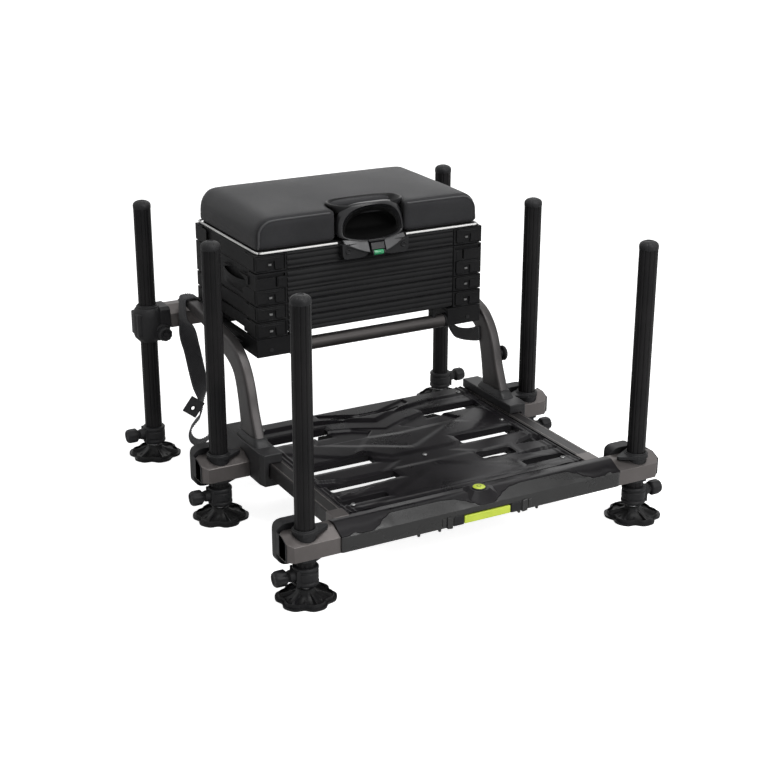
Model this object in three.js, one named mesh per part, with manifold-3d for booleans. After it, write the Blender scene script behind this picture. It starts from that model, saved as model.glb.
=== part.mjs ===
// A fishing seat box: a cushioned stack of trays on two side arms, a sliding footplate and six legs.
// Millimetres. The origin is on the ground, midway between the feet; X to the right, Y to the rear, Z up.
import * as THREE from "three";
import { mergeVertices } from "three/addons/utils/BufferGeometryUtils.js";
import Module from "manifold-3d";

const library = await Module();
library.setup();

// Clearances
const SEAT_GAP = 0.3; // between pieces that rest on or in each other
const SLIDE_GAP = 0.5; // round a rail that slides in a runner
const OVERRUN = 2; // how far a cut runs past the face that it opens
const WELD_DISTANCE = 0.001; // points this close are one point

// Where the six legs stand: outside the runners, and behind the box by a gap before the beam
const STANCE = { stub: 55.5, frontY: -375, midY: 10, beamGap: 4 };

// Round leg with its domed cap, and the moulded collar on its lower end
const LEG = {
  radius: 18,
  boreRadius: 16,
  top: 564,
  domeHeight: 8,
  domeEdge: 5,
  dimpleRadius: 6,
  dimpleDepth: 1.5,
  capThickness: 10,
};
const COLLAR = {
  radius: 24,
  bottom: 30,
  height: 38,
  chamfer: 3,
  lip: 2,
  boreRadius: 14,
  bossRadius: 10,
  bossReach: 34,
  knobHeight: 22,
};
const KNOB = { stemRadius: 4, headRadius: 15, headLength: 25, neck: 3, taper: 2, dish: 2 };

// Inner ram with its ball, and the mud foot that turns on the ball
const RAM = { radius: 13.7, top: 205, neckRadius: 5, neckLength: 1, coneHeight: 2.5 };
const BALL = { radius: 10, height: 19, gap: 0.6 };
const FOOT = {
  radius: 55.5,
  notchDepth: 8,
  lobes: 6,
  plateThickness: 6,
  coneRadius: 42,
  coneTop: 14,
  hubRadius: 16,
  hubHeight: 24,
  ribWidth: 7,
  ribReach: 47,
  ribTop: 12,
};

// Rail section: upright face, sloping shoulder and flat top. The front rail, mid rails and beam share it.
const RAIL = { depth: 50, height: 43, faceHeight: 30, slopeRun: 28, wall: 4, bottom: 87 };
const RAIL_END = { reach: 44, corner: 12 };
const LUG = { width: 16, bottom: 8, height: 20 };

// Black bush with teardrop flanges that guides a leg in a rail
const BUSH = { wall: 3, flangeRadius: 24.7, flangeThickness: 6, tipReach: 45, tipRadius: 5 };

// Clamp lever behind a rail. Its handle points to the left on both sides and swings to the rear.
const LEVER = {
  pinRadius: 4,
  pinOffset: 10,
  pinBack: 14,
  hubRadius: 13.4,
  tipOffset: -42,
  tipRadius: 7,
  drop: 25,
  height: 80,
  cornerRadius: 18,
  slotRadius: 10,
};

// Rear castings round the rear legs, their screw knobs, and the beam between them
const BEAM = { bottom: 290, endGap: 42 };
const CASTING = { radius: 31, drop: 24, height: 72, rim: 4, armHeight: 36, armDepth: 44 };
const REAR_KNOB = { inset: 21, drop: 6, bossRadius: 11, bossReach: 31, headRadius: 16, headLength: 18 };

// Footplate: two side rails, a slotted deck, a moulding over the front rail
const SIDE_RAIL = { outset: 2, width: 31, bottom: 102, height: 28, wall: 4, length: 459.7 };
const DECK = {
  bottom: 118,
  thickness: 10,
  setback: 59,
  crossRise: 2.5,
  crossWidth: 58,
  crossInset: 22,
  crossDepth: 158,
  crossCentre: 228,
  rearBarDepth: 44,
  rearBarRise: 5,
  slotRadius: 8,
};

// Slots on each side: inner and outer end as shares of the half width, front and rear of the length
const SLOT_SHARES = [
  [0.435, 0.955, 0.778, 0.854],
  [0.38, 0.924, 0.419, 0.499],
  [0.357, 0.924, 0.22, 0.295],
  [0.582, 0.955, 0.078, 0.162],
];
const MOULDING = { endGap: 13, thickness: 4, cornerRadius: 26 };

// The seam between the deck's lip and the moulding: distances behind the front rail's face, then
// where it turns, from the moulding's end and from the boss
const SEAM = {
  crest: 28,
  dip: 3,
  boss: -1,
  endInset: 16,
  shoulderInset: 70,
  riseInset: 126,
  fall: 44,
  bossInset: 4,
};
const BOSS = { setback: 28, baseRadius: 30, topRadius: 17, rise: 8, seatDepth: 5 };
const BUBBLE = { radius: 13, rise: 2.5, dome: 1.5 };
const HANDLE = { halfLength: 50, lift: 1, height: 16, forward: 4, depth: 10, finger: 3 };
const RECESS = { side: 0.4, above: 0.4 };

// Runner castings that hold the side rails and carry the arms
const RUNNER = {
  lip: 4,
  width: 42.5,
  bottom: 84,
  height: 66,
  ahead: 85,
  behind: 105,
  bodyHalf: 42,
  tipInset: 14,
};

// Curved side arms: gap beside the box, width, reach ahead of the mid legs, lap on the beam, rise over it
const ARM = { gap: 16, width: 22, ahead: 26, lap: 18.3, rise: 66 };

// The arm's edges as shares of its length and height: up the front and over, then down the rear
const ARM_FRONT_SHARES = [
  [0, 0],
  [0.031, 0.154],
  [0.057, 0.315],
  [0.078, 0.475],
  [0.102, 0.592],
  [0.13, 0.679],
  [0.167, 0.757],
  [0.214, 0.825],
  [0.271, 0.869],
  [0.331, 0.898],
  [0.409, 0.918],
  [0.487, 0.937],
  [0.628, 0.971],
  [0.771, 1],
  [0.875, 1],
  [0.953, 0.976],
  [1, 0.947],
];
const ARM_REAR_SHARES = [
  [0.654, 0.854],
  [0.51, 0.791],
  [0.375, 0.703],
  [0.297, 0.645],
  [0.25, 0.577],
  [0.216, 0.465],
  [0.193, 0.319],
  [0.172, 0.154],
  [0.156, 0],
];
const STUD = { back: 35, up: 82, neckRadius: 7, neckLength: 5, headRadius: 16, headLength: 11 };

// Base frame of the box: corner brackets, side members, rear member and the front crossbar
const BASE = {
  rise: 15,
  bracketHeight: 36.7,
  bracketWidth: 78,
  bracketDepth: 60,
  sideWidth: 18,
  sideHeight: 25,
  rearDepth: 16,
  lugLength: 40,
  lugHeight: 15,
  frontLugBack: 66,
  rearLugAhead: 56,
  rearLugRise: 21,
};
const CROSSBAR = { depth: 34, drop: 2, height: 34, corner: 9, clipInset: 107, clipWidth: 12, clipHeight: 7 };

// Box: four stacked trays of one plan, which the widths and depths of the rest follow
const BOX = { halfWidth: 252, front: 46, depth: 297, wall: 3, cornerRise: 4, cornerRun: 3, cornerWidth: 66 };
const CORNER = { depth: 37 };
const TRAY_HEIGHT = { bottom: 35, third: 32.7, deep: 65.7, top: 36.4 };
const TRAY = { floor: 3, bottomStep: 8 };
const GRIP = { back: 28, length: 122, drop: 28, height: 16, reach: 7 };

// Lid, its hinge and the moulded scoop in front
const LID = { thickness: 4, sideInset: 5, frontLap: 1, rearLap: 4 };
const HINGE = { back: 12, drop: 2.7, radius: 4.5, pinRadius: 2, x: 150, barrel: 36, ear: 10 };
const SCOOP = {
  halfWidth: 75,
  skirtDrop: 31,
  skirtGap: 0.8,
  ahead: 22,
  depth: 68,
  shoulderRise: 35,
  rise: 77,
  crownHalf: 40,
  wall: 7,
  mouthRise: 6,
  mouthDepth: 50,
};
const BUTTON = { halfWidth: 15, lift: 5, height: 27, inset: 3, depth: 17, vialHeight: 13, vialRise: 2 };

// Seat cushion with its crown and drawn-in sides
const CUSHION = {
  sideInset: 4,
  endInset: 2,
  height: 62.7,
  crown: 5,
  waist: 5,
  cornerRadius: 30,
  edgeRadius: 24,
  seamInset: 2,
  seamDepth: 1.2,
};
const PIPING = { radius: 3, rise: 2.6, sides: 6 };

// Webbing straps
const WEBBING = { width: 38, thickness: 3 };
// Left strap: across the arm, ahead of the beam in widths of the webbing, height as a share of the arm's
// top, and its turn as a share of a right angle
const STRAP_LEFT_SHARES = [
  [-0.045, 0.553, 1.008, 1],
  [0.909, 0.553, 1.01, 1],
  [1.182, 0.553, 0.994, 1],
  [1.195, 0.553, 0.893, 0.978],
  [1, 0.553, 0.848, 0.778],
  [0.727, 0.421, 0.801, 0.444],
  [0.409, 0.263, 0.736, 0.133],
  [0.182, 0.184, 0.674, 0],
  [-0.182, 0.158, 0.534, 0],
  [-0.545, 0.158, 0.379, 0],
  [-0.682, 0.158, 0.292, 0],
  [-0.727, 0.237, 0.236, 0],
  [-0.727, 0.447, 0.18, 0],
  [-0.727, 0.737, 0.14, 0],
  [-0.727, 1.079, 0.126, 0],
  [-0.727, 1.395, 0.14, 0],
  [-0.727, 1.553, 0.174, 0],
  [-0.727, 1.474, 0.213, 0],
];

// Right strap's outline: Y and Z as shares of the stance and the arm's top
const STRAP_RIGHT_SHARES = [
  [0.16, 0.736],
  [0.171, 0.708],
  [0.277, 0.674],
  [0.387, 0.652],
  [0.453, 0.654],
  [0.523, 0.708],
  [0.571, 0.803],
  [0.592, 0.927],
  [0.528, 0.927],
  [0.512, 0.82],
  [0.48, 0.742],
  [0.427, 0.722],
  [0.347, 0.733],
  [0.248, 0.767],
  [0.176, 0.798],
];

// Places that follow from the sizes above
const RAIL_TOP = RAIL.bottom + RAIL.height;
const FRONT_FACE = STANCE.frontY - RAIL.depth / 2;
const PANEL_REAR = BOX.front + BOX.depth;
const BOX_REACH = BOX.halfWidth + BOX.cornerRise;
const BOX_FRONT = BOX.front - BOX.cornerRun;
const BOX_REAR = PANEL_REAR + BOX.cornerRun;
const BEAM_FACE = BOX_REAR + STANCE.beamGap;
const REAR_LEG_Y = BEAM_FACE + RAIL.depth / 2;
const DECK_FRONT = FRONT_FACE + DECK.setback;
const RAIL_REAR = FRONT_FACE + RAIL.depth + SEAT_GAP;
const DECK_REAR = RAIL_REAR + SIDE_RAIL.length;
const RAIL_INNER = BOX_REACH + SIDE_RAIL.outset;
const RUNNER_INNER = RAIL_INNER + RUNNER.lip;
const RUNNER_OUTER = RUNNER_INNER + RUNNER.width;
const RUNNER_TOP = RUNNER.bottom + RUNNER.height;
const RUNNER_FRONT = STANCE.midY - RUNNER.ahead;
const RUNNER_REAR = STANCE.midY + RUNNER.behind;
const HALF_STANCE = RUNNER_OUTER + STANCE.stub;
const BEAM_HALF = HALF_STANCE - BEAM.endGap;
const MOULDING_HALF = HALF_STANCE - BUSH.tipReach - MOULDING.endGap;
const ARM_INNER = BOX_REACH + ARM.gap;
const ARM_FRONT = STANCE.midY - ARM.ahead;
const ARM_TOP = BEAM.bottom + ARM.rise;
const BASE_Z = BEAM.bottom + BASE.rise;
const CROSSBAR_Z = BASE_Z - CROSSBAR.drop;
const BOTTOM_TRAY_Z = BASE_Z + BASE.bracketHeight + SEAT_GAP;
const THIRD_TRAY_Z = BOTTOM_TRAY_Z + TRAY_HEIGHT.bottom + SEAT_GAP;
const DEEP_TRAY_Z = THIRD_TRAY_Z + TRAY_HEIGHT.third + SEAT_GAP;
const TOP_TRAY_Z = DEEP_TRAY_Z + TRAY_HEIGHT.deep + SEAT_GAP;
const RIM_Z = TOP_TRAY_Z + TRAY_HEIGHT.top;
const LID_Z = RIM_Z + SEAT_GAP;
const LID_TOP = LID_Z + LID.thickness;
const LID_HALF = BOX.halfWidth - LID.sideInset;
const LID_SPAN = [BOX.front - LID.frontLap, PANEL_REAR + LID.rearLap];
const CUSHION_Z = LID_TOP + SEAT_GAP;
const CUSHION_HALF = LID_HALF - CUSHION.sideInset;
const CUSHION_SPAN = [LID_SPAN[0] + CUSHION.endInset, LID_SPAN[1] - CUSHION.endInset];
const HINGE_Y = PANEL_REAR + HINGE.back;
const HINGE_Z = RIM_Z - HINGE.drop;
const SKIRT_Z = LID_Z - SCOOP.skirtDrop;
const SCOOP_FRONT = BOX.front - SCOOP.ahead;
const SCOOP_REAR = SCOOP_FRONT + SCOOP.depth;
const SKIRT_DEPTH = SCOOP.ahead - SCOOP.skirtGap;
const BOSS_Y = FRONT_FACE + BOSS.setback;
const BOSS_TOP = RAIL_TOP + BOSS.rise;
const HANDLE_Y = FRONT_FACE - HANDLE.forward;
const HANDLE_Z = RAIL.bottom + HANDLE.lift;

// Facets
const ROUND_SIDES = 16;
const SMALL_SIDES = 10;
const SOCKET_RINGS = 8;
const ARC_STEPS = 2;
const FOOT_STEPS_PER_LOBE = 4;

const COLOURS = {
  anodised: { color: 0x232122, roughness: 0.35, metalness: 0.8 },
  gunmetal: { color: 0x585252, roughness: 0.4, metalness: 0.7 },
  plastic: { color: 0x1b1b1c, roughness: 0.6, metalness: 0 },
  deck: { color: 0x141415, roughness: 0.4, metalness: 0 },
  vinyl: { color: 0x2e2e31, roughness: 0.55, metalness: 0 },
  lime: { color: 0xb9c83c, roughness: 0.4, metalness: 0 },
  webbing: { color: 0x3a3a3d, roughness: 0.9, metalness: 0 },
};
const materials = Object.fromEntries(
  Object.entries(COLOURS).map(([name, look]) => [name, new THREE.MeshStandardMaterial(look)]),
);

// A closed geometry as a solid with its faces outwards. Needles that collapse in the weld are left out.
function solid(geometry) {
  geometry.deleteAttribute("normal");
  geometry.deleteAttribute("uv");
  const welded = mergeVertices(geometry, WELD_DISTANCE);
  const corners = [];
  const source = welded.index.array;
  for (let i = 0; i < source.length; i += 3) {
    const [a, b, c] = [source[i], source[i + 1], source[i + 2]];
    if (a !== b && b !== c && c !== a) corners.push(a, b, c);
  }
  const build = (triVerts) =>
    new library.Manifold(
      new library.Mesh({
        numProp: 3,
        vertProperties: welded.attributes.position.array,
        triVerts: new Uint32Array(triVerts),
      }),
    );
  const made = build(corners);
  return made.volume() > 0 ? made : build(corners.toReversed());
}

const join = (...bodies) => bodies.reduce((sum, body) => sum.add(body));
const cut = (body, ...tools) => tools.reduce((rest, tool) => rest.subtract(tool), body);
const span = (a, b) => [Math.min(a, b), Math.max(a, b)];
const middle = ([low, high]) => (low + high) / 2;

function block(x, y, z) {
  const box = new THREE.BoxGeometry(x[1] - x[0], y[1] - y[0], z[1] - z[0]);
  return solid(box.translate(middle(x), middle(y), middle(z)));
}

const outline = (points) => new THREE.Shape(points.map(([a, b]) => new THREE.Vector2(a, b)));

// A rectangle with round corners, as a shape
function roundedRectangle([a0, a1], [b0, b1], radius) {
  const shape = new THREE.Shape();
  const quarter = Math.PI / 2;
  shape.absarc(a1 - radius, b0 + radius, radius, -quarter, 0);
  shape.absarc(a1 - radius, b1 - radius, radius, 0, quarter);
  shape.absarc(a0 + radius, b1 - radius, radius, quarter, 2 * quarter);
  shape.absarc(a0 + radius, b0 + radius, radius, 2 * quarter, 3 * quarter);
  return shape.closePath();
}

// Extrusions: a (Y, Z) outline along X, an (X, Z) outline along Y, an (X, Y) outline along Z
const TURN_TO_X = new THREE.Matrix4().set(0, 0, 1, 0, 1, 0, 0, 0, 0, 1, 0, 0, 0, 0, 0, 1);
const TURN_TO_Y = new THREE.Matrix4().set(1, 0, 0, 0, 0, 0, -1, 0, 0, 1, 0, 0, 0, 0, 0, 1);

function extrusion(shape, depth) {
  return new THREE.ExtrudeGeometry(shape, { depth, bevelEnabled: false, curveSegments: ARC_STEPS });
}

function alongX(shape, [x0, x1]) {
  return solid(extrusion(shape, x1 - x0).applyMatrix4(TURN_TO_X).translate(x0, 0, 0));
}

function alongY(shape, [y0, y1]) {
  return solid(extrusion(shape, y1 - y0).applyMatrix4(TURN_TO_Y).translate(0, y1, 0));
}

function alongZ(shape, [z0, z1]) {
  return solid(extrusion(shape, z1 - z0).translate(0, 0, z0));
}

// Turned bodies: a closed profile of (radius, distance along the axis) points
const lathe = (profile, sides) =>
  new THREE.LatheGeometry(
    profile.map(([radius, along]) => new THREE.Vector2(radius, along)),
    sides,
  );

const turnedZ = (profile, [x, y], sides = ROUND_SIDES) =>
  solid(lathe(profile, sides).rotateX(Math.PI / 2).translate(x, y, 0));

const turnedX = (profile, [y, z], sides = ROUND_SIDES) =>
  solid(lathe(profile, sides).rotateZ(-Math.PI / 2).translate(0, y, z));

const turnedY = (profile, [x, z], sides = ROUND_SIDES) => solid(lathe(profile, sides).translate(x, 0, z));

const rod = (radius, [low, high]) => [
  [0, low],
  [radius, low],
  [radius, high],
  [0, high],
];

const object = new THREE.Group();
object.name = "fishing_seat_box";

// Adds a solid to a group as a named mesh
function place(group, name, body, material) {
  const { numProp, numVert, vertProperties, triVerts } = body.getMesh();
  const positions = new Float32Array(numVert * 3);
  for (let i = 0; i < numVert; i++) {
    positions.set(vertProperties.subarray(i * numProp, i * numProp + 3), i * 3);
  }
  const geometry = new THREE.BufferGeometry();
  geometry.setAttribute("position", new THREE.BufferAttribute(positions, 3));
  geometry.setIndex(new THREE.BufferAttribute(triVerts, 1));
  geometry.computeVertexNormals();
  const mesh = new THREE.Mesh(geometry, material);
  mesh.name = name;
  group.add(mesh);
}

const SIDES = [
  { side: -1, name: "left" },
  { side: 1, name: "right" },
];

// Leg, collar knob, ram and foot, in the leg's own frame: axis at the origin, knob towards +X
const COLLAR_TOP = COLLAR.bottom + COLLAR.height;
const COLLAR_KNOB_Z = COLLAR.bottom + COLLAR.knobHeight;

function legTube() {
  const cavityTop = LEG.top - LEG.domeHeight - LEG.capThickness;
  const tube = turnedZ(
    [
      [COLLAR.boreRadius, COLLAR.bottom],
      [COLLAR.radius - COLLAR.chamfer, COLLAR.bottom],
      [COLLAR.radius, COLLAR.bottom + COLLAR.chamfer],
      [COLLAR.radius, COLLAR_TOP - COLLAR.chamfer],
      [LEG.radius + COLLAR.lip, COLLAR_TOP],
      [LEG.radius, COLLAR_TOP],
      [LEG.radius, LEG.top - LEG.domeHeight],
      [LEG.radius - LEG.domeEdge, LEG.top - LEG.domeEdge / 2],
      [LEG.dimpleRadius + LEG.domeEdge / 2, LEG.top],
      [LEG.dimpleRadius, LEG.top - LEG.dimpleDepth],
      [0, LEG.top - LEG.dimpleDepth],
      [0, cavityTop],
      [LEG.boreRadius, cavityTop],
      [LEG.boreRadius, COLLAR_TOP],
      [COLLAR.boreRadius, COLLAR_TOP],
      [COLLAR.boreRadius, COLLAR.bottom],
    ],
    [0, 0],
  );
  const axis = [0, COLLAR_KNOB_Z];
  const bossRoot = (COLLAR.boreRadius + COLLAR.radius) / 2;
  const boss = turnedX(rod(COLLAR.bossRadius, [bossRoot, COLLAR.bossReach]), axis, SMALL_SIDES);
  const stemHole = rod(KNOB.stemRadius + SEAT_GAP, [LEG.dimpleRadius, COLLAR.bossReach + OVERRUN]);
  return cut(join(tube, boss), turnedX(stemHole, axis, SMALL_SIDES));
}

function collarKnob() {
  const head = COLLAR.bossReach + SEAT_GAP;
  const end = head + KNOB.neck + KNOB.headLength;
  const profile = [
    [0, COLLAR.boreRadius + SEAT_GAP],
    [KNOB.stemRadius, COLLAR.boreRadius + SEAT_GAP],
    [KNOB.stemRadius, head],
    [COLLAR.bossRadius, head],
    [KNOB.headRadius, head + KNOB.neck],
    [KNOB.headRadius, end - KNOB.taper],
    [KNOB.headRadius - KNOB.taper, end],
    [0, end - KNOB.dish],
  ];
  return turnedX(profile, [0, COLLAR_KNOB_Z], SMALL_SIDES);
}

function ram() {
  const neckStart = Math.asin(RAM.neckRadius / BALL.radius);
  const steps = 6;
  const ball = [];
  for (let i = 0; i <= steps; i++) {
    const angle = Math.PI - (i / steps) * (Math.PI - neckStart);
    ball.push([BALL.radius * Math.sin(angle), BALL.height + BALL.radius * Math.cos(angle)]);
  }
  ball[0][0] = 0;
  const neckTop = BALL.height + BALL.radius * Math.cos(neckStart) + RAM.neckLength;
  const profile = [
    ...ball,
    [RAM.neckRadius, neckTop],
    [RAM.radius, neckTop + RAM.coneHeight],
    [RAM.radius, RAM.top],
    [0, RAM.top],
  ];
  return turnedZ(profile, [0, 0]);
}

function mudFoot() {
  const count = FOOT.lobes * FOOT_STEPS_PER_LOBE;
  const rim = [];
  for (let i = 0; i < count; i++) {
    const angle = (i / count) * 2 * Math.PI;
    const notch = (FOOT.notchDepth * (1 - Math.cos(FOOT.lobes * angle))) / 2;
    const radius = FOOT.radius - notch;
    rim.push([radius * Math.cos(angle), radius * Math.sin(angle)]);
  }
  const plate = alongZ(outline(rim), [0, FOOT.plateThickness]);
  const hub = turnedZ(
    [
      [0, 0],
      [FOOT.coneRadius, 0],
      [FOOT.coneRadius, FOOT.plateThickness],
      [FOOT.hubRadius, FOOT.coneTop],
      [FOOT.hubRadius, FOOT.hubHeight],
      [0, FOOT.hubHeight],
    ],
    [0, 0],
    ROUND_SIDES,
  );
  const ribs = [0, 1, 2].map((turn) => {
    const bar = new THREE.BoxGeometry(2 * FOOT.ribReach, FOOT.ribWidth, FOOT.ribTop);
    return solid(bar.translate(0, 0, FOOT.ribTop / 2).rotateZ((turn * Math.PI) / 3));
  });
  const socket = new THREE.SphereGeometry(BALL.radius + BALL.gap, ROUND_SIDES, SOCKET_RINGS);
  const socketCut = solid(socket.rotateX(Math.PI / 2).translate(0, 0, BALL.height));
  return cut(join(plate, hub, ...ribs), socketCut);
}

// Rail section in the (Y, Z) plane, from the front face y0 and the underside z0, drawn in by a wall
function railSection(y0, z0, wall = 0) {
  const rearY = y0 + RAIL.depth - wall;
  const top = z0 + RAIL.height - wall;
  return outline([
    [y0 + wall, z0 + wall],
    [y0 + wall, z0 + RAIL.faceHeight - wall / 2],
    [y0 + RAIL.slopeRun + wall / 2, top],
    [rearY, top],
    [rearY, z0 + wall],
  ]);
}

// Ends of a rail with their outer corners cut off, as a cutting frame round the leg at (x, y)
function railEndCorners(side, y0) {
  const end = side * (HALF_STANCE + RAIL_END.reach);
  const cornerAt = (y, inwards) =>
    alongZ(
      outline([
        [end - side * RAIL_END.corner, y],
        [end + side * OVERRUN, y + inwards * (RAIL_END.corner + OVERRUN)],
        [end + side * OVERRUN, y - inwards * OVERRUN],
        [end - side * RAIL_END.corner, y - inwards * OVERRUN],
      ]),
      [RAIL.bottom - OVERRUN, RAIL.bottom + RAIL.height + OVERRUN],
    );
  return [cornerAt(y0, 1), cornerAt(y0 + RAIL.depth, -1)];
}

const bushOuter = LEG.radius + SEAT_GAP + BUSH.wall;

function railLegBore(side, y) {
  const bore = rod(bushOuter + SEAT_GAP, [RAIL.bottom - OVERRUN, RAIL.bottom + RAIL.height + OVERRUN]);
  return turnedZ(bore, [side * HALF_STANCE, y]);
}

// Lug behind a rail that carries the clamp lever's pin
function leverPin(side, rearFace) {
  return [side * HALF_STANCE + LEVER.pinOffset, rearFace + LEVER.pinBack];
}

function clampLug(side, rearFace) {
  const [x, y] = leverPin(side, rearFace);
  const half = LUG.width / 2;
  const z = [RAIL.bottom + LUG.bottom, RAIL.bottom + LUG.bottom + LUG.height];
  const web = block([x - half, x + half], [rearFace - RAIL.wall, y], z);
  const nose = turnedZ(rod(half, z), [x, y]);
  const hole = rod(LEVER.pinRadius + SEAT_GAP, [z[0] - OVERRUN, z[1] + OVERRUN]);
  return { body: join(web, nose), hole: turnedZ(hole, [x, y], SMALL_SIDES) };
}

function frontRail() {
  const y0 = FRONT_FACE;
  const reach = HALF_STANCE + RAIL_END.reach;
  const channelHalf = RAIL_INNER;
  let rail = alongX(railSection(y0, RAIL.bottom), [-reach, reach]);
  rail = cut(
    rail,
    block(
      [-channelHalf, channelHalf],
      [y0 + 2 * RAIL.wall + HANDLE.depth, y0 + RAIL.depth + OVERRUN],
      [RAIL.bottom + RAIL.wall, RAIL.bottom + RAIL.faceHeight],
    ),
    block(
      [-HANDLE.halfLength - RECESS.side - SEAT_GAP, HANDLE.halfLength + RECESS.side + SEAT_GAP],
      [y0 - OVERRUN, y0 + HANDLE.depth],
      [RAIL.bottom - OVERRUN, HANDLE_Z + HANDLE.height + RECESS.above],
    ),
  );
  SIDES.forEach(({ side }) => {
    const lug = clampLug(side, y0 + RAIL.depth);
    rail = join(cut(rail, ...railEndCorners(side, y0)), lug.body);
    rail = cut(rail, railLegBore(side, STANCE.frontY), lug.hole);
  });
  return rail;
}

function midRail(side) {
  const y0 = STANCE.midY - RAIL.depth / 2;
  const inner = side * (RUNNER_OUTER + SEAT_GAP);
  const outer = side * (HALF_STANCE + RAIL_END.reach);
  const hollowEnd = side * (HALF_STANCE - bushOuter - RAIL.wall);
  const bar = alongX(railSection(y0, RAIL.bottom), span(inner, outer));
  const hollow = alongX(railSection(y0, RAIL.bottom, RAIL.wall), span(inner - side * OVERRUN, hollowEnd));
  const lug = clampLug(side, y0 + RAIL.depth);
  const shaped = join(cut(bar, hollow, ...railEndCorners(side, y0)), lug.body);
  return cut(shaped, railLegBore(side, STANCE.midY), lug.hole);
}

// Bush in the leg's own frame: teardrop flanges above and below the rail, joined by the sleeve
function legBush() {
  const teardrop = () => {
    const shape = new THREE.Shape();
    const lean = Math.acos((BUSH.flangeRadius - BUSH.tipRadius) / BUSH.tipReach);
    shape.absarc(0, 0, BUSH.flangeRadius, lean - Math.PI, Math.PI - lean);
    shape.absarc(-BUSH.tipReach + BUSH.tipRadius, 0, BUSH.tipRadius, Math.PI - lean, Math.PI + lean);
    return shape.closePath();
  };
  const railTop = RAIL.bottom + RAIL.height;
  const upper = [railTop + SEAT_GAP, railTop + SEAT_GAP + BUSH.flangeThickness];
  const lower = [RAIL.bottom - SEAT_GAP - BUSH.flangeThickness, RAIL.bottom - SEAT_GAP];
  const core = turnedZ(rod(bushOuter, [lower[0], upper[1]]), [0, 0]);
  const bore = rod(LEG.radius + SEAT_GAP, [lower[0] - OVERRUN, upper[1] + OVERRUN]);
  return cut(join(core, alongZ(teardrop(), upper), alongZ(teardrop(), lower)), turnedZ(bore, [0, 0]));
}

function clampLever(side, y) {
  const rearFace = y + RAIL.depth / 2;
  const [pinX, pinY] = leverPin(side, rearFace);
  const tipX = side * HALF_STANCE + LEVER.tipOffset;
  const bottom = RAIL.bottom - LEVER.drop;
  const z = [bottom, bottom + LEVER.height];
  const slotZ = [RAIL.bottom + LUG.bottom - SEAT_GAP, RAIL.bottom + LUG.bottom + LUG.height + SEAT_GAP];
  const plan = new THREE.Shape();
  const quarter = Math.PI / 2;
  const depth = LEVER.hubRadius - LEVER.tipRadius;
  plan.absarc(pinX, pinY, LEVER.hubRadius, -quarter, quarter);
  plan.absarc(tipX + LEVER.tipRadius, pinY + depth, LEVER.tipRadius, quarter, 2 * quarter);
  plan.absarc(tipX + LEVER.tipRadius, pinY - depth, LEVER.tipRadius, 2 * quarter, 3 * quarter);
  const y0 = pinY - LEVER.hubRadius - OVERRUN;
  const y1 = pinY + LEVER.hubRadius + OVERRUN;
  const x1 = pinX + LEVER.hubRadius;
  const face = alongY(roundedRectangle([tipX, x1], z, LEVER.cornerRadius), [y0, y1]);
  const slot = block([pinX - LEVER.slotRadius, x1 + OVERRUN], [y0, y1], slotZ);
  const pinZ = [slotZ[0] - OVERRUN, slotZ[1] + OVERRUN];
  const pin = turnedZ(rod(LEVER.pinRadius, pinZ), [pinX, pinY], SMALL_SIDES);
  return join(cut(alongZ(plan.closePath(), z).intersect(face), slot), pin);
}

// Rear castings, screw knobs and beam
const CASTING_Z = BEAM.bottom - CASTING.drop;
const REAR_KNOB_Z = BEAM.bottom - REAR_KNOB.drop;
const REAR_BOSS_Y = REAR_LEG_Y - REAR_KNOB.bossReach;

function rearBeam() {
  const y0 = BEAM_FACE;
  const bar = alongX(railSection(y0, BEAM.bottom), [-BEAM_HALF, BEAM_HALF]);
  const reach = BEAM_HALF + OVERRUN;
  return cut(bar, alongX(railSection(y0, BEAM.bottom, RAIL.wall), [-reach, reach]));
}

function rearCasting(side) {
  const x = side * HALF_STANCE;
  const top = CASTING_Z + CASTING.height;
  const hub = turnedZ(
    [
      [0, CASTING_Z],
      [CASTING.radius - CASTING.rim, CASTING_Z],
      [CASTING.radius, CASTING_Z + CASTING.rim],
      [CASTING.radius, top - 2 * CASTING.rim],
      [CASTING.radius - CASTING.rim, top - CASTING.rim],
      [LEG.radius + CASTING.rim, top],
      [0, top],
    ],
    [x, REAR_LEG_Y],
  );
  const armBottom = BEAM.bottom + RAIL.wall;
  const arm = block(
    span(side * (BEAM_HALF + SEAT_GAP), x),
    [REAR_LEG_Y - CASTING.armDepth / 2, REAR_LEG_Y + CASTING.armDepth / 2],
    [armBottom, armBottom + CASTING.armHeight],
  );
  const knobAxis = [side * (HALF_STANCE - REAR_KNOB.inset), REAR_KNOB_Z];
  const boss = turnedY(rod(REAR_KNOB.bossRadius, [REAR_BOSS_Y, REAR_LEG_Y]), knobAxis, SMALL_SIDES);
  const legBore = rod(LEG.radius + SEAT_GAP, [CASTING_Z - OVERRUN, top + OVERRUN]);
  const stemHole = rod(KNOB.stemRadius + SEAT_GAP, [REAR_BOSS_Y - OVERRUN, REAR_LEG_Y]);
  return cut(
    join(hub, arm, boss),
    turnedZ(legBore, [x, REAR_LEG_Y]),
    turnedY(stemHole, knobAxis, SMALL_SIDES),
  );
}

function rearKnob(side) {
  const seat = REAR_BOSS_Y - SEAT_GAP;
  const front = seat - REAR_KNOB.headLength;
  const profile = [
    [0, front + KNOB.dish],
    [REAR_KNOB.headRadius - KNOB.taper, front],
    [REAR_KNOB.headRadius, front + KNOB.taper],
    [REAR_KNOB.headRadius, seat - KNOB.neck],
    [REAR_KNOB.bossRadius, seat],
    [KNOB.stemRadius, seat],
    [KNOB.stemRadius, seat + REAR_KNOB.headLength / 2],
    [0, seat + REAR_KNOB.headLength / 2],
  ];
  return turnedY(profile, [side * (HALF_STANCE - REAR_KNOB.inset), REAR_KNOB_Z], SMALL_SIDES);
}

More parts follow.
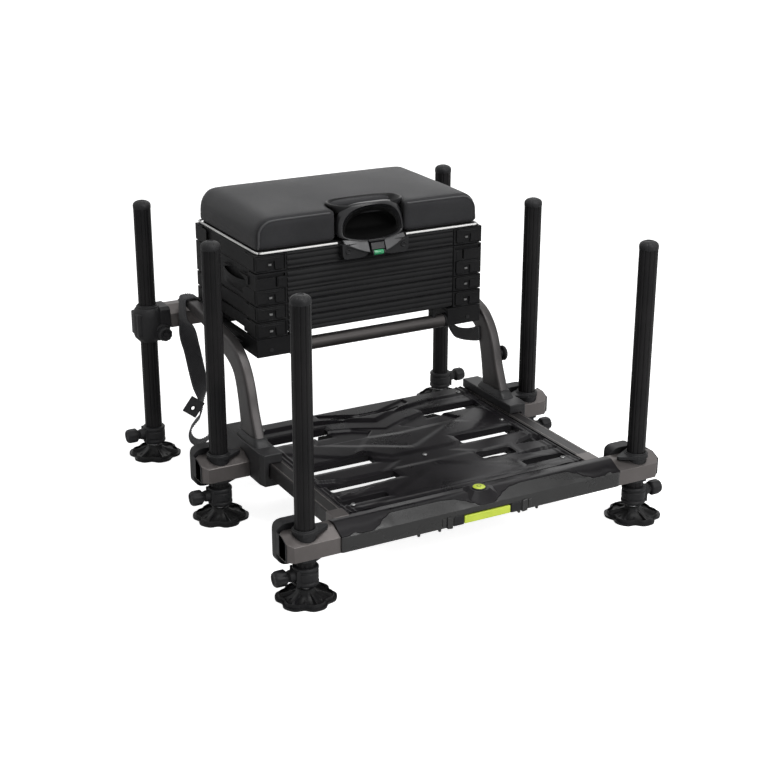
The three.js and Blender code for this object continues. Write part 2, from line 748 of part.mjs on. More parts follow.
// Footplate
function sideRail(side) {
  const outer = RAIL_INNER + SIDE_RAIL.width;
  const y = [RAIL_REAR, DECK_REAR];
  const z = [SIDE_RAIL.bottom, SIDE_RAIL.bottom + SIDE_RAIL.height];
  const bar = block(span(side * RAIL_INNER, side * outer), y, z);
  const channel = block(
    span(side * (RAIL_INNER - OVERRUN), side * (outer - SIDE_RAIL.wall)),
    [y[0] - OVERRUN, y[1] + OVERRUN],
    [z[0] + SIDE_RAIL.wall, z[1] - SIDE_RAIL.wall],
  );
  return cut(bar, channel);
}

// Bent cover over the front rail, which the wavy seam splits into the deck's lip and the moulding
function coverSheet() {
  const y0 = FRONT_FACE - SEAT_GAP;
  const top = RAIL.bottom + RAIL.height + SEAT_GAP;
  const faceTop = RAIL.bottom + RAIL.faceHeight;
  const rise = MOULDING.thickness;
  const section = outline([
    [y0, RAIL.bottom],
    [y0, faceTop],
    [y0 + RAIL.slopeRun, top],
    [DECK_FRONT, top],
    [DECK_FRONT, top + rise],
    [y0 + RAIL.slopeRun - rise / 2, top + rise],
    [y0 - rise, faceTop + rise / 2],
    [y0 - rise, RAIL.bottom],
  ]);
  const plan = roundedRectangle(
    [-MOULDING_HALF, MOULDING_HALF],
    [y0 - rise - MOULDING.cornerRadius, DECK_FRONT + MOULDING.cornerRadius],
    MOULDING.cornerRadius,
  );
  const sheet = alongX(section, [-MOULDING_HALF, MOULDING_HALF]);
  return sheet.intersect(alongZ(plan, [RAIL.bottom - OVERRUN, top + rise + OVERRUN]));
}

// Everything behind the seam, whose line swings out round the boss and at both ends
function behindSeam(shift) {
  const half = [
    [BOSS.baseRadius - SEAM.bossInset, FRONT_FACE + SEAM.boss],
    [BOSS.baseRadius + SEAM.fall, FRONT_FACE + SEAM.crest],
    [MOULDING_HALF - SEAM.riseInset, FRONT_FACE + SEAM.crest],
    [MOULDING_HALF - SEAM.shoulderInset, FRONT_FACE + SEAM.dip],
    [MOULDING_HALF - SEAM.endInset, FRONT_FACE + SEAM.dip],
  ];
  const mirrored = half.map(([x, y]) => [-x, y]).reverse();
  const reach = MOULDING_HALF + OVERRUN;
  const line = [...mirrored, ...half].map(([x, y]) => [x, y + shift]);
  const plan = outline([
    [-reach, FRONT_FACE + SEAM.dip + shift],
    ...line,
    [reach, FRONT_FACE + SEAM.dip + shift],
    [reach, DECK_REAR],
    [-reach, DECK_REAR],
  ]);
  return alongZ(plan, [RAIL.bottom + RAIL.faceHeight - OVERRUN + shift, BOSS_TOP + OVERRUN]);
}

function frontMoulding() {
  const y0 = FRONT_FACE;
  const recess = block(
    [-HANDLE.halfLength - RECESS.side, HANDLE.halfLength + RECESS.side],
    [y0 - MOULDING.thickness - OVERRUN, y0],
    [RAIL.bottom - OVERRUN, HANDLE_Z + HANDLE.height + RECESS.above],
  );
  return cut(coverSheet(), behindSeam(0), recess, bossCone(SEAT_GAP));
}

function bossCone(grow) {
  const profile = [
    [0, RAIL.bottom + RAIL.faceHeight - grow],
    [BOSS.baseRadius + grow, RAIL.bottom + RAIL.faceHeight - grow],
    [BOSS.baseRadius + grow, RAIL.bottom + RAIL.height - grow],
    [BOSS.topRadius + grow, BOSS_TOP + grow],
    [0, BOSS_TOP + grow],
  ];
  return turnedZ(profile, [0, BOSS_Y]);
}

function deckCross() {
  const z = [DECK.bottom + OVERRUN, DECK.bottom + DECK.thickness + DECK.crossRise];
  const crossReach = RAIL_INNER - DECK.crossInset;
  const length = 2 * Math.hypot(crossReach, DECK.crossDepth);
  const angle = Math.atan2(DECK.crossDepth, crossReach);
  return [-1, 1].map((turn) => {
    const bar = new THREE.BoxGeometry(length, DECK.crossWidth, z[1] - z[0]);
    return solid(bar.rotateZ(turn * angle).translate(0, FRONT_FACE + DECK.crossCentre, middle(z)));
  });
}

function deck() {
  const half = RAIL_INNER - SEAT_GAP;
  const top = DECK.bottom + DECK.thickness;
  const front = DECK_FRONT;
  const plate = block([-half, half], [front, DECK_REAR], [DECK.bottom, top]);
  const rearBar = block(
    [-half, half],
    [DECK_REAR - DECK.rearBarDepth, DECK_REAR],
    [DECK.bottom, top + DECK.rearBarRise],
  );
  const limits = block([-half, half], [front, DECK_REAR], [DECK.bottom, BOSS_TOP]);
  const cross = deckCross().map((bar) => bar.intersect(limits));
  const railTop = RAIL.bottom + RAIL.height + SEAT_GAP;
  const lipTop = railTop + MOULDING.thickness;
  const lipRoot = block([-half, half], [front - OVERRUN, front + RAIL.wall], [DECK.bottom, lipTop]);
  const railSpace = alongX(railSection(FRONT_FACE, RAIL.bottom, -SEAT_GAP), [-half, half]);
  const lip = coverSheet().intersect(behindSeam(SEAT_GAP));
  const boss = cut(bossCone(0), railSpace);
  const length = DECK_REAR - DECK_FRONT;
  const slots = SLOT_SHARES.flatMap(([inner, outer, near, far]) =>
    [-1, 1].map((side) => {
      const y = [DECK_FRONT + near * length, DECK_FRONT + far * length];
      const plan = roundedRectangle(span(side * inner * half, side * outer * half), y, DECK.slotRadius);
      return alongZ(plan, [DECK.bottom - OVERRUN, top + DECK.crossRise + OVERRUN]);
    }),
  );
  const seat = turnedZ(rod(BUBBLE.radius + SEAT_GAP, [BOSS_TOP - BOSS.seatDepth, BOSS_TOP + OVERRUN]), [
    0,
    BOSS_Y,
  ]);
  return cut(join(plate, rearBar, ...cross, lipRoot, lip, boss), ...slots, seat);
}

function levelBubble() {
  const floor = BOSS_TOP - BOSS.seatDepth + SEAT_GAP;
  const top = BOSS_TOP + BUBBLE.rise;
  const profile = [
    [0, floor],
    [BUBBLE.radius, floor],
    [BUBBLE.radius, top - BUBBLE.dome],
    [BUBBLE.radius - 2 * BUBBLE.dome, top],
    [0, top],
  ];
  return turnedZ(profile, [0, BOSS_Y]);
}

function releaseHandle() {
  const section = outline([
    [HANDLE_Y, HANDLE_Z],
    [HANDLE_Y, HANDLE_Z + HANDLE.height],
    [HANDLE_Y + HANDLE.depth, HANDLE_Z + HANDLE.height],
    [HANDLE_Y + HANDLE.depth, HANDLE_Z + HANDLE.height - HANDLE.finger],
    [HANDLE_Y + HANDLE.finger, HANDLE_Z + HANDLE.height - HANDLE.finger],
    [HANDLE_Y + HANDLE.finger, HANDLE_Z],
  ]);
  return alongX(section, [-HANDLE.halfLength, HANDLE.halfLength]);
}

// Runner casting: a channel for the side rail, with a broad body under the arm
function runner(side) {
  const { tipInset } = RUNNER;
  const inner = RUNNER_INNER;
  const outer = RUNNER_OUTER;
  const plan = outline(
    [
      [inner, RUNNER_FRONT],
      [outer - tipInset, RUNNER_FRONT],
      [outer, STANCE.midY - RUNNER.bodyHalf],
      [outer, STANCE.midY + RUNNER.bodyHalf],
      [outer - tipInset, RUNNER_REAR],
      [inner, RUNNER_REAR],
    ].map(([x, y]) => [side * x, y]),
  );
  const railTop = SIDE_RAIL.bottom + SIDE_RAIL.height;
  const channel = block(
    span(side * (inner - OVERRUN), side * (RAIL_INNER + SIDE_RAIL.width + SLIDE_GAP)),
    [RUNNER_FRONT - OVERRUN, RUNNER_REAR + OVERRUN],
    [SIDE_RAIL.bottom - SLIDE_GAP, railTop + SLIDE_GAP],
  );
  return cut(alongZ(plan, [RUNNER.bottom, RUNNER_TOP]), channel);
}

// Side arm: its rear end lies on the sloping shoulder of the rear beam
function sideArm(side) {
  const foot = RUNNER_TOP + SEAT_GAP;
  const beamFace = BEAM_FACE - SEAT_GAP;
  const end = beamFace + ARM.lap;
  const place = ([along, up]) => [ARM_FRONT + along * (end - ARM_FRONT), foot + up * (ARM_TOP - foot)];
  const shoulder = BEAM.bottom + RAIL.faceHeight + 2 * SEAT_GAP;
  const slope = (RAIL.height - RAIL.faceHeight) / RAIL.slopeRun;
  const seat = [
    [end, shoulder + slope * ARM.lap],
    [beamFace, shoulder],
  ];
  const edge = [...ARM_FRONT_SHARES.map(place), ...seat, ...ARM_REAR_SHARES.map(place)];
  const x0 = side * ARM_INNER;
  const arm = alongX(outline(edge), span(x0, x0 + side * ARM.width));
  return side > 0 ? join(arm, strapStud(foot)) : arm;
}

function strapStud(foot) {
  const face = ARM_INNER + ARM.width;
  const head = face + STUD.neckLength;
  const profile = [
    [0, face - OVERRUN],
    [STUD.neckRadius, face - OVERRUN],
    [STUD.neckRadius, head],
    [STUD.headRadius, head],
    [STUD.headRadius, head + STUD.headLength - OVERRUN],
    [STUD.headRadius - OVERRUN, head + STUD.headLength],
    [0, head + STUD.headLength],
  ];
  return turnedX(profile, [ARM_FRONT + STUD.back, foot + STUD.up], SMALL_SIDES);
}

// Base frame: brackets under the four corners of the box, joined by members, with lugs to the arms

function baseFrame() {
  const z = [BASE_Z, BASE_Z + BASE.bracketHeight];
  const inner = BOX_REACH - BASE.bracketWidth;
  const lugs = [
    [BOX.front + BASE.frontLugBack, BASE_Z],
    [BOX_REAR - BASE.rearLugAhead, BASE_Z + BASE.rearLugRise],
  ];
  const pieces = SIDES.flatMap(({ side }) => [
    block(span(side * inner, side * BOX_REACH), [BOX_FRONT, BOX_FRONT + BASE.bracketDepth], z),
    block(span(side * inner, side * BOX_REACH), [BOX_REAR - BASE.bracketDepth, BOX_REAR], z),
    block(
      span(side * (BOX_REACH - BASE.sideWidth), side * BOX_REACH),
      [BOX_FRONT, BOX_REAR],
      [BASE_Z, BASE_Z + BASE.sideHeight],
    ),
    ...lugs.map(([y, bottom]) =>
      block(
        span(side * (BOX_REACH - OVERRUN), side * (ARM_INNER - SEAT_GAP)),
        [y, y + BASE.lugLength],
        [bottom, bottom + BASE.lugHeight],
      ),
    ),
    clip(side),
  ]);
  const rearMember = block(
    [-inner - OVERRUN, inner + OVERRUN],
    [BOX_REAR - BASE.rearDepth, BOX_REAR],
    [BASE_Z, BASE_Z + BASE.sideHeight],
  );
  const bar = alongX(
    roundedRectangle(
      [BOX.front, BOX.front + CROSSBAR.depth],
      [CROSSBAR_Z, CROSSBAR_Z + CROSSBAR.height],
      CROSSBAR.corner,
    ),
    [-inner - OVERRUN, inner + OVERRUN],
  );
  return join(...pieces, rearMember, bar);
}

function clip(side) {
  const clipX = BOX_REACH - CROSSBAR.clipInset;
  const top = CROSSBAR_Z + CROSSBAR.height;
  return block(
    span(side * (clipX - CROSSBAR.clipWidth / 2), side * (clipX + CROSSBAR.clipWidth / 2)),
    [BOX.front + CROSSBAR.corner, BOX.front + CROSSBAR.depth / 2 + CROSSBAR.corner],
    [top - OVERRUN, top + CROSSBAR.clipHeight],
  );
}

// A tray: panels with thick corner blocks, open on top. The bottom tray's panels stop above its corners.
function tray(bottom, top, panelBottom = bottom) {
  const cornerX = BOX_REACH - BOX.cornerWidth;
  const z = [bottom, top];
  const panels = block([-BOX.halfWidth, BOX.halfWidth], [BOX.front, PANEL_REAR], [panelBottom, top]);
  const corners = SIDES.flatMap(({ side }) => [
    block(span(side * cornerX, side * BOX_REACH), [BOX_FRONT, BOX_FRONT + CORNER.depth], z),
    block(span(side * cornerX, side * BOX_REACH), [BOX_REAR - CORNER.depth, BOX_REAR], z),
  ]);
  const inside = block(
    [-BOX.halfWidth + BOX.wall, BOX.halfWidth - BOX.wall],
    [BOX.front + BOX.wall, PANEL_REAR - BOX.wall],
    [panelBottom + TRAY.floor, top + OVERRUN],
  );
  return cut(join(panels, ...corners), inside);
}

function deepTray() {
  const top = DEEP_TRAY_Z + TRAY_HEIGHT.deep;
  const grips = SIDES.map(({ side }) =>
    block(
      span(side * (BOX.halfWidth - BOX.wall / 2), side * (BOX.halfWidth + GRIP.reach)),
      [BOX.front + GRIP.back, BOX.front + GRIP.back + GRIP.length],
      [top - GRIP.drop, top - GRIP.drop + GRIP.height],
    ),
  );
  return join(tray(DEEP_TRAY_Z, top), ...grips);
}

// Hinge knuckles behind the top tray, and the lid's barrels with their pins between them
function hingeEars() {
  const solids = [];
  const holes = [];
  SIDES.forEach(({ side }) => {
    [-1, 1].forEach((end) => {
      const near = side * HINGE.x + end * (HINGE.barrel / 2 + SEAT_GAP);
      const x = span(near, near + end * HINGE.ear);
      solids.push(turnedX(rod(HINGE.radius, x), [HINGE_Y, HINGE_Z], SMALL_SIDES));
      solids.push(block(x, [PANEL_REAR - BOX.wall, HINGE_Y], [HINGE_Z - HINGE.radius, HINGE_Z]));
      const reach = [x[0] - OVERRUN, x[1] + OVERRUN];
      holes.push(turnedX(rod(HINGE.pinRadius + SEAT_GAP, reach), [HINGE_Y, HINGE_Z], SMALL_SIDES));
    });
  });
  return { solids, holes };
}

function topTray() {
  const { solids, holes } = hingeEars();
  return cut(join(tray(TOP_TRAY_Z, RIM_Z), ...solids), ...holes);
}

// Lid board with its hinge barrels and the scoop
function lid() {
  const z = [LID_Z, LID_TOP];
  const plan = roundedRectangle([-LID_HALF, LID_HALF], LID_SPAN, CUSHION.cornerRadius);
  const board = alongZ(plan, z);
  const barrels = SIDES.flatMap(({ side }) => {
    const x = [side * HINGE.x - HINGE.barrel / 2, side * HINGE.x + HINGE.barrel / 2];
    const pinReach = HINGE.barrel / 2 + HINGE.ear;
    const pin = rod(HINGE.pinRadius, [side * HINGE.x - pinReach, side * HINGE.x + pinReach]);
    const web = outline([
      [LID_SPAN[1] - OVERRUN, z[0]],
      [LID_SPAN[1] - OVERRUN, z[1]],
      [HINGE_Y, z[1]],
      [HINGE_Y + HINGE.radius - OVERRUN, HINGE_Z + HINGE.radius - OVERRUN],
      [HINGE_Y, HINGE_Z],
    ]);
    return [
      turnedX(rod(HINGE.radius, x), [HINGE_Y, HINGE_Z], SMALL_SIDES),
      turnedX(pin, [HINGE_Y, HINGE_Z], SMALL_SIDES),
      alongX(web, x),
    ];
  });
  const pocket = block(
    [-BUTTON.halfWidth - SEAT_GAP, BUTTON.halfWidth + SEAT_GAP],
    [SCOOP_FRONT - OVERRUN, SCOOP_FRONT + SKIRT_DEPTH + OVERRUN],
    [SKIRT_Z - OVERRUN, SKIRT_Z + BUTTON.lift + BUTTON.height + SEAT_GAP],
  );
  return cut(join(board, ...barrels, scoopShell()), pocket);
}

// The scoop's front outline: straight sides, round shoulders and a flat crown
function scoopOutline(inset, bottom) {
  const half = SCOOP.halfWidth - inset;
  const top = LID_Z + SCOOP.rise - inset;
  const crown = SCOOP.crownHalf - inset / 2;
  const shape = new THREE.Shape();
  shape.moveTo(-half, bottom);
  shape.lineTo(half, bottom);
  shape.lineTo(half, LID_Z + SCOOP.shoulderRise);
  shape.quadraticCurveTo(half, top, crown, top);
  shape.lineTo(-crown, top);
  shape.quadraticCurveTo(-half, top, -half, LID_Z + SCOOP.shoulderRise);
  return shape.closePath();
}

function scoopShell() {
  const upper = alongY(scoopOutline(0, LID_Z), [SCOOP_FRONT, SCOOP_REAR]);
  const mouth = alongY(scoopOutline(SCOOP.wall, LID_Z + SCOOP.mouthRise), [
    SCOOP_FRONT - OVERRUN,
    SCOOP_FRONT + SCOOP.mouthDepth,
  ]);
  const lean = outline([
    [SCOOP_FRONT - OVERRUN, LID_Z + SCOOP.mouthRise],
    [SCOOP_FRONT + SCOOP.wall, LID_Z + SCOOP.shoulderRise],
    [SCOOP_FRONT + 2 * SCOOP.wall, LID_Z + SCOOP.rise + OVERRUN],
    [SCOOP_FRONT - OVERRUN, LID_Z + SCOOP.rise + OVERRUN],
  ]);
  const reach = SCOOP.halfWidth + OVERRUN;
  const skirt = alongY(
    outline([
      [-SCOOP.halfWidth + SCOOP.wall, SKIRT_Z],
      [SCOOP.halfWidth - SCOOP.wall, SKIRT_Z],
      [SCOOP.halfWidth, SKIRT_Z + 2 * SCOOP.wall],
      [SCOOP.halfWidth, LID_TOP],
      [-SCOOP.halfWidth, LID_TOP],
      [-SCOOP.halfWidth, SKIRT_Z + 2 * SCOOP.wall],
    ]),
    [SCOOP_FRONT, SCOOP_FRONT + SKIRT_DEPTH],
  );
  return join(cut(upper, mouth, alongX(lean, [-reach, reach])), skirt);
}

function releaseButton() {
  const { halfWidth, height, depth, vialHeight, vialRise } = BUTTON;
  const bottom = SKIRT_Z + BUTTON.lift;
  const front = SCOOP_FRONT - BUTTON.inset;
  const tab = block([-halfWidth, halfWidth], [front, front + depth], [bottom, bottom + height]);
  const vial = turnedX(
    rod(vialHeight / 2, [-halfWidth + SCOOP.wall / 2, halfWidth - SCOOP.wall / 2]),
    [front + vialHeight / 2 - vialRise, bottom + vialHeight / 2],
    SMALL_SIDES,
  );
  return join(tab, vial);
}

// A ring of points round the cushion's plan, drawn in by an inset
const RING = { cornerPoints: 5, sidePoints: 3 };

function cushionRing(inset, z, lift) {
  const radius = Math.max(CUSHION.cornerRadius - inset, CUSHION.cornerRadius / 3);
  const halfX = CUSHION_HALF - inset;
  const centreY = middle(CUSHION_SPAN);
  const halfY = CUSHION_SPAN[1] - centreY - inset;
  const ring = [];
  const quarter = Math.PI / 2;
  const signs = [
    [1, 1],
    [-1, 1],
    [-1, -1],
    [1, -1],
  ];
  signs.forEach(([sx, sy], corner) => {
    for (let i = 0; i < RING.cornerPoints; i++) {
      const angle = (corner + i / (RING.cornerPoints - 1)) * quarter;
      ring.push([
        sx * (halfX - radius) + radius * Math.cos(angle),
        sy * (halfY - radius) + radius * Math.sin(angle),
      ]);
    }
    const next = signs[(corner + 1) % signs.length];
    const [fromX, fromY] = ring.at(-1);
    const toX = next[0] * (halfX - (corner % 2 ? 0 : radius));
    const toY = next[1] * (halfY - (corner % 2 ? radius : 0));
    for (let i = 1; i <= RING.sidePoints; i++) {
      const t = i / (RING.sidePoints + 1);
      ring.push([fromX + (toX - fromX) * t, fromY + (toY - fromY) * t]);
    }
  });
  return ring.map(([x, y]) => {
    const swell = Math.max(0, (1 - (x / halfX) ** 2) * (1 - (y / halfY) ** 2));
    return new THREE.Vector3(x, y + centreY, z + lift * swell);
  });
}

// A closed skin over rings of equal length, with a fan over the first and the last
function skinOver(rings) {
  const centreOf = (ring) =>
    ring.reduce((sum, point) => sum.add(point), new THREE.Vector3()).divideScalar(ring.length);
  const points = [centreOf(rings[0]), ...rings.flat(), centreOf(rings.at(-1))];
  const size = rings[0].length;
  const index = [];
  for (let i = 0; i < size; i++) {
    const next = (i + 1) % size;
    index.push(0, 1 + next, 1 + i);
    for (let level = 0; level < rings.length - 1; level++) {
      const low = 1 + level * size;
      const high = low + size;
      index.push(low + i, low + next, high + next, low + i, high + next, high + i);
    }
    const last = 1 + (rings.length - 1) * size;
    index.push(points.length - 1, last + i, last + next);
  }
  return solid(new THREE.BufferGeometry().setFromPoints(points).setIndex(index));
}

function cushionBody() {
  const { waist, edgeRadius, crown, seamInset, seamDepth } = CUSHION;
  const bottom = CUSHION_Z;
  const top = bottom + CUSHION.height;
  const bend = edgeRadius * Math.SQRT1_2;
  const rings = [
    cushionRing(0, bottom, 0),
    cushionRing(0, bottom + waist, 0),
    cushionRing(waist / 2, middle([bottom, top - edgeRadius]), 0),
    cushionRing(waist / 2, top - edgeRadius, 0),
    cushionRing(waist / 2 + edgeRadius - bend, top - edgeRadius + bend, 0),
    cushionRing(waist / 2 + edgeRadius - seamInset, top - seamDepth / 2, 0),
    cushionRing(waist / 2 + edgeRadius, top - seamDepth, 0),
    cushionRing(waist / 2 + edgeRadius + seamInset, top, 0),
    cushionRing(2 * edgeRadius, top, crown),
    cushionRing(3 * edgeRadius, top, crown),
    cushionRing(5 * edgeRadius, top, crown),
  ];
  rings.at(-1).forEach((point) => {
    point.z = top + crown;
  });
  return skinOver(rings);
}

// White piping sewn round the cushion's lower edge
function piping() {
  const z = CUSHION_Z + PIPING.rise;
  const path = cushionRing(0, z, 0);
  const rings = [];
  for (let i = 0; i <= PIPING.sides; i++) {
    const angle = (i / PIPING.sides) * 2 * Math.PI;
    const rise = (PIPING.radius - SEAT_GAP) * Math.sin(angle);
    rings.push(cushionRing(-PIPING.radius * Math.cos(angle), z + rise, 0));
  }
  const size = path.length;
  const index = [];
  for (let ring = 0; ring < PIPING.sides; ring++) {
    for (let i = 0; i < size; i++) {
      const next = (i + 1) % size;
      const [a, b] = [ring * size, (ring + 1) * size];
      index.push(a + i, a + next, b + next, a + i, b + next, b + i);
    }
  }
  return solid(new THREE.BufferGeometry().setFromPoints(rings.flat()).setIndex(index));
}

function cushion() {
  const grown = alongY(scoopOutline(-SEAT_GAP, CUSHION_Z - OVERRUN), [
    SCOOP_FRONT - 2 * OVERRUN,
    SCOOP_REAR + SEAT_GAP,
  ]);
  return cut(join(cushionBody(), piping()), grown);
}

// Webbing through stations. Each gives a centre and the turn of the width about the vertical.
function ribbon(stations, width, thickness) {
  const centres = stations.map(({ at }) => new THREE.Vector3(...at));
  const rings = stations.map(({ turn }, i) => {
    const run = centres[Math.min(i + 1, centres.length - 1)].clone().sub(centres[Math.max(i - 1, 0)]);
    const wide = new THREE.Vector3(Math.cos(turn), Math.sin(turn), 0);
    const thick = run.clone().cross(wide).normalize();
    const corner = (a, b) =>
      centres[i]
        .clone()
        .addScaledVector(wide, (a * width) / 2)
        .addScaledVector(thick, (b * thickness) / 2);
    return [corner(-1, -1), corner(1, -1), corner(1, 1), corner(-1, 1)];
  });
  return skinOver(rings);
}

// Left strap: round the arm's rear end, then down with a half turn to its loop
function strapLeft() {
  const stations = STRAP_LEFT_SHARES.map(([x, y, z, turn]) => ({
    at: [-ARM_INNER - x * ARM.width, BEAM_FACE - y * WEBBING.width, z * ARM_TOP],
    turn: (turn * Math.PI) / 2,
  }));
  return ribbon(stations, WEBBING.width, WEBBING.thickness);
}

// Right strap: webbing hung along the inner face of the arm, between its column and its top
function strapRight() {
  const edge = STRAP_RIGHT_SHARES.map(([y, z]) => [y * REAR_LEG_Y, z * ARM_TOP]);
  const x1 = ARM_INNER - SEAT_GAP;
  return alongX(outline(edge), [x1 - WEBBING.thickness, x1]);
}

// Assembly
const STATIONS = [
  { name: "front", y: STANCE.frontY },
  { name: "mid", y: STANCE.midY },
  { name: "rear", y: REAR_LEG_Y },
];

STATIONS.forEach(({ name: station, y }) => {
  SIDES.forEach(({ side, name: hand }) => {
    const group = new THREE.Group();
    group.position.set(side * HALF_STANCE, y, 0);
    group.rotation.z = side > 0 ? 0 : Math.PI;
    place(group, `leg_${station}_${hand}`, legTube(), materials.anodised);
    place(group, `collar_knob_${station}_${hand}`, collarKnob(), materials.plastic);
    place(group, `ram_${station}_${hand}`, ram(), materials.anodised);
    place(group, `mud_foot_${station}_${hand}`, mudFoot(), materials.plastic);
    if (station !== "rear") place(group, `leg_bush_${station}_${hand}`, legBush(), materials.plastic);
    object.add(group);
    if (station !== "rear") {
      place(object, `clamp_lever_${station}_${hand}`, clampLever(side, y), materials.plastic);
    }
  });
});

SIDES.forEach(({ side, name: hand }) => {
  place(object, `rear_casting_${hand}`, rearCasting(side), materials.plastic);
  place(object, `rear_knob_${hand}`, rearKnob(side), materials.plastic);
  place(object, `mid_rail_${hand}`, midRail(side), materials.gunmetal);
  place(object, `runner_${hand}`, runner(side), materials.plastic);
  place(object, `side_arm_${hand}`, sideArm(side), materials.gunmetal);
  place(object, `side_rail_${hand}`, sideRail(side), materials.gunmetal);
});

place(object, "front_rail", frontRail(), materials.gunmetal);
place(object, "rear_beam", rearBeam(), materials.gunmetal);
place(object, "base_frame", baseFrame(), materials.plastic);
const bottomTray = tray(BOTTOM_TRAY_Z, BOTTOM_TRAY_Z + TRAY_HEIGHT.bottom, BOTTOM_TRAY_Z + TRAY.bottomStep);
place(object, "bottom_tray", bottomTray, materials.plastic);
place(object, "third_tray", tray(THIRD_TRAY_Z, THIRD_TRAY_Z + TRAY_HEIGHT.third), materials.plastic);
place(object, "deep_tray", deepTray(), materials.plastic);
place(object, "top_tray", topTray(), materials.plastic);
place(object, "lid", lid(), materials.plastic);
place(object, "seat_cushion", cushion(), materials.vinyl);
place(object, "release_button", releaseButton(), materials.plastic);
place(object, "footplate_deck", deck(), materials.deck);
place(object, "front_moulding", frontMoulding(), materials.deck);
place(object, "level_bubble", levelBubble(), materials.lime);
place(object, "release_handle", releaseHandle(), materials.lime);
place(object, "strap_left", strapLeft(), materials.webbing);
place(object, "strap_right", strapRight(), materials.webbing);

export default object;
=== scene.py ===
"""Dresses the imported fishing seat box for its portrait.

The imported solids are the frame. Each class below takes one sub-assembly, builds its finished shapes in
millimetres in the frame's own axes (X to the right, Y to the rear, Z up) and lets them ride on their bodies.
"""

import logging
import math
from dataclasses import dataclass
from enum import Enum
from functools import cache, cached_property
from typing import Callable, Iterable, Sequence

import bmesh
import bpy
from mathutils import Matrix, Vector, bvhtree


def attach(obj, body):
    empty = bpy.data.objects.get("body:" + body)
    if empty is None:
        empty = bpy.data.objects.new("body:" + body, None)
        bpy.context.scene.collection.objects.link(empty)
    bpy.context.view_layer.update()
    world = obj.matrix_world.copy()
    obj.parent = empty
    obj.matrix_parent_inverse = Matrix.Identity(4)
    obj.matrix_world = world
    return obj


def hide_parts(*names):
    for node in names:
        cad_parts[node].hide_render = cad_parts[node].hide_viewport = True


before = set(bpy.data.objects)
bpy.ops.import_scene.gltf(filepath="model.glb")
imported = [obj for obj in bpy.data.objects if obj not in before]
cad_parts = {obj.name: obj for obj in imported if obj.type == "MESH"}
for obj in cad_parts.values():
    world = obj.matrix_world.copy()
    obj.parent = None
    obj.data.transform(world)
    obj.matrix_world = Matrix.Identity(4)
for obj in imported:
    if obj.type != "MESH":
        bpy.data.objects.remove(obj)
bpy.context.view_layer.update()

log = logging.getLogger("seat_box")

MM = 0.001
SEAM_FRONT = -404.2
SEAM_LOW = 118.9
STATIONS = ("front", "mid", "rear")
HANDS = {"left": -1, "right": 1}

Pair = tuple[float, float]
Point = tuple[float, float, float]
Colour = tuple[float, float, float]


def between(side: int, a: float, b: float, middle: float = 0.0) -> Pair:
    """The span between two distances from a middle, on the side that is asked for."""
    return tuple(sorted((middle + side * a, middle + side * b)))


def on_side(side: int, outline: Iterable[Pair]) -> list[Pair]:
    """A flat outline, turned over to the side that is asked for."""
    return [(side * a, b) for a, b in outline]


def turns(count: int) -> list[float]:
    """Evenly spaced angles round a circle."""
    return [2 * math.pi * i / count for i in range(count)]


def soft_square(count: int, power: float) -> list[Pair]:
    """The points of a circle of radius 1 that is drawn out towards a square: a power of 2 leaves it round."""
    def drawn(value: float) -> float:
        """A sine or cosine, drawn out."""
        return math.copysign(abs(value) ** (2 / power), value)

    return [(drawn(math.cos(angle)), drawn(math.sin(angle))) for angle in turns(count)]


def add_object(name: str, data: bpy.types.ID) -> bpy.types.Object:
    """Puts a new object into the scene."""
    obj = bpy.data.objects.new(name, data)
    bpy.context.scene.collection.objects.link(obj)
    return obj


def smooth_path(points: Sequence[Sequence[float]], steps: int) -> list[Vector]:
    """Rounds a run of points into a Catmull-Rom path.

    Args:
        points: The points that the path passes through.
        steps: How many points to make between two of them.

    Returns:
        The points of the path, both ends included.
    """
    knots = [Vector(p) for p in points]
    knots = [2 * knots[0] - knots[1], *knots, 2 * knots[-1] - knots[-2]]
    path = []
    for a, b, c, d in zip(knots, knots[1:], knots[2:], knots[3:]):
        for i in range(steps):
            t = i / steps
            path.append(
                0.5 * (2 * b + (c - a) * t + (2 * a - 5 * b + 4 * c - d) * t * t + (3 * b - a - 3 * c + d) * t**3)
            )
    path.append(knots[-2])
    return path


def even_path(path: Sequence[Vector], count: int) -> list[Vector]:
    """Spaces points evenly along a path.

    Args:
        path: The points of the path.
        count: How many points to return.

    Returns:
        The evenly spaced points, both ends included.
    """
    reach = [0.0]
    for a, b in zip(path, path[1:]):
        reach.append(reach[-1] + (b - a).length)
    made, at = [], 0
    for i in range(count):
        want = reach[-1] * i / (count - 1)
        while at < len(path) - 2 and reach[at + 1] < want:
            at += 1
        run = reach[at + 1] - reach[at] or 1.0
        made.append(path[at].lerp(path[at + 1], min(1.0, (want - reach[at]) / run)))
    return made


def round_corner(corner: Sequence[float], before: Sequence[float], after: Sequence[float], radius: float) -> list:
    """The points of an arc that takes the place of one corner of a flat outline."""
    c, a, b = Vector(corner), Vector(before), Vector(after)
    to_a, to_b = (a - c).normalized(), (b - c).normalized()
    half = to_a.angle(to_b) / 2
    reach = min(radius / math.tan(half), (a - c).length * 0.49, (b - c).length * 0.49)
    start, end = c + to_a * reach, c + to_b * reach
    return [tuple(start.lerp(c, t).lerp(c.lerp(end, t), t)) for t in (0, 0.25, 0.5, 0.75, 1)]


def round_outline(points: Sequence[Sequence[float]], radius: float) -> list[Pair]:
    """Rounds every corner of a closed flat outline.

    Args:
        points: The corners.
        radius: The radius of each round, drawn in where a side is too short for it.

    Returns:
        The points of the rounded outline.
    """
    made = []
    for i, corner in enumerate(points):
        made += round_corner(corner, points[i - 1], points[(i + 1) % len(points)], radius)
    return made


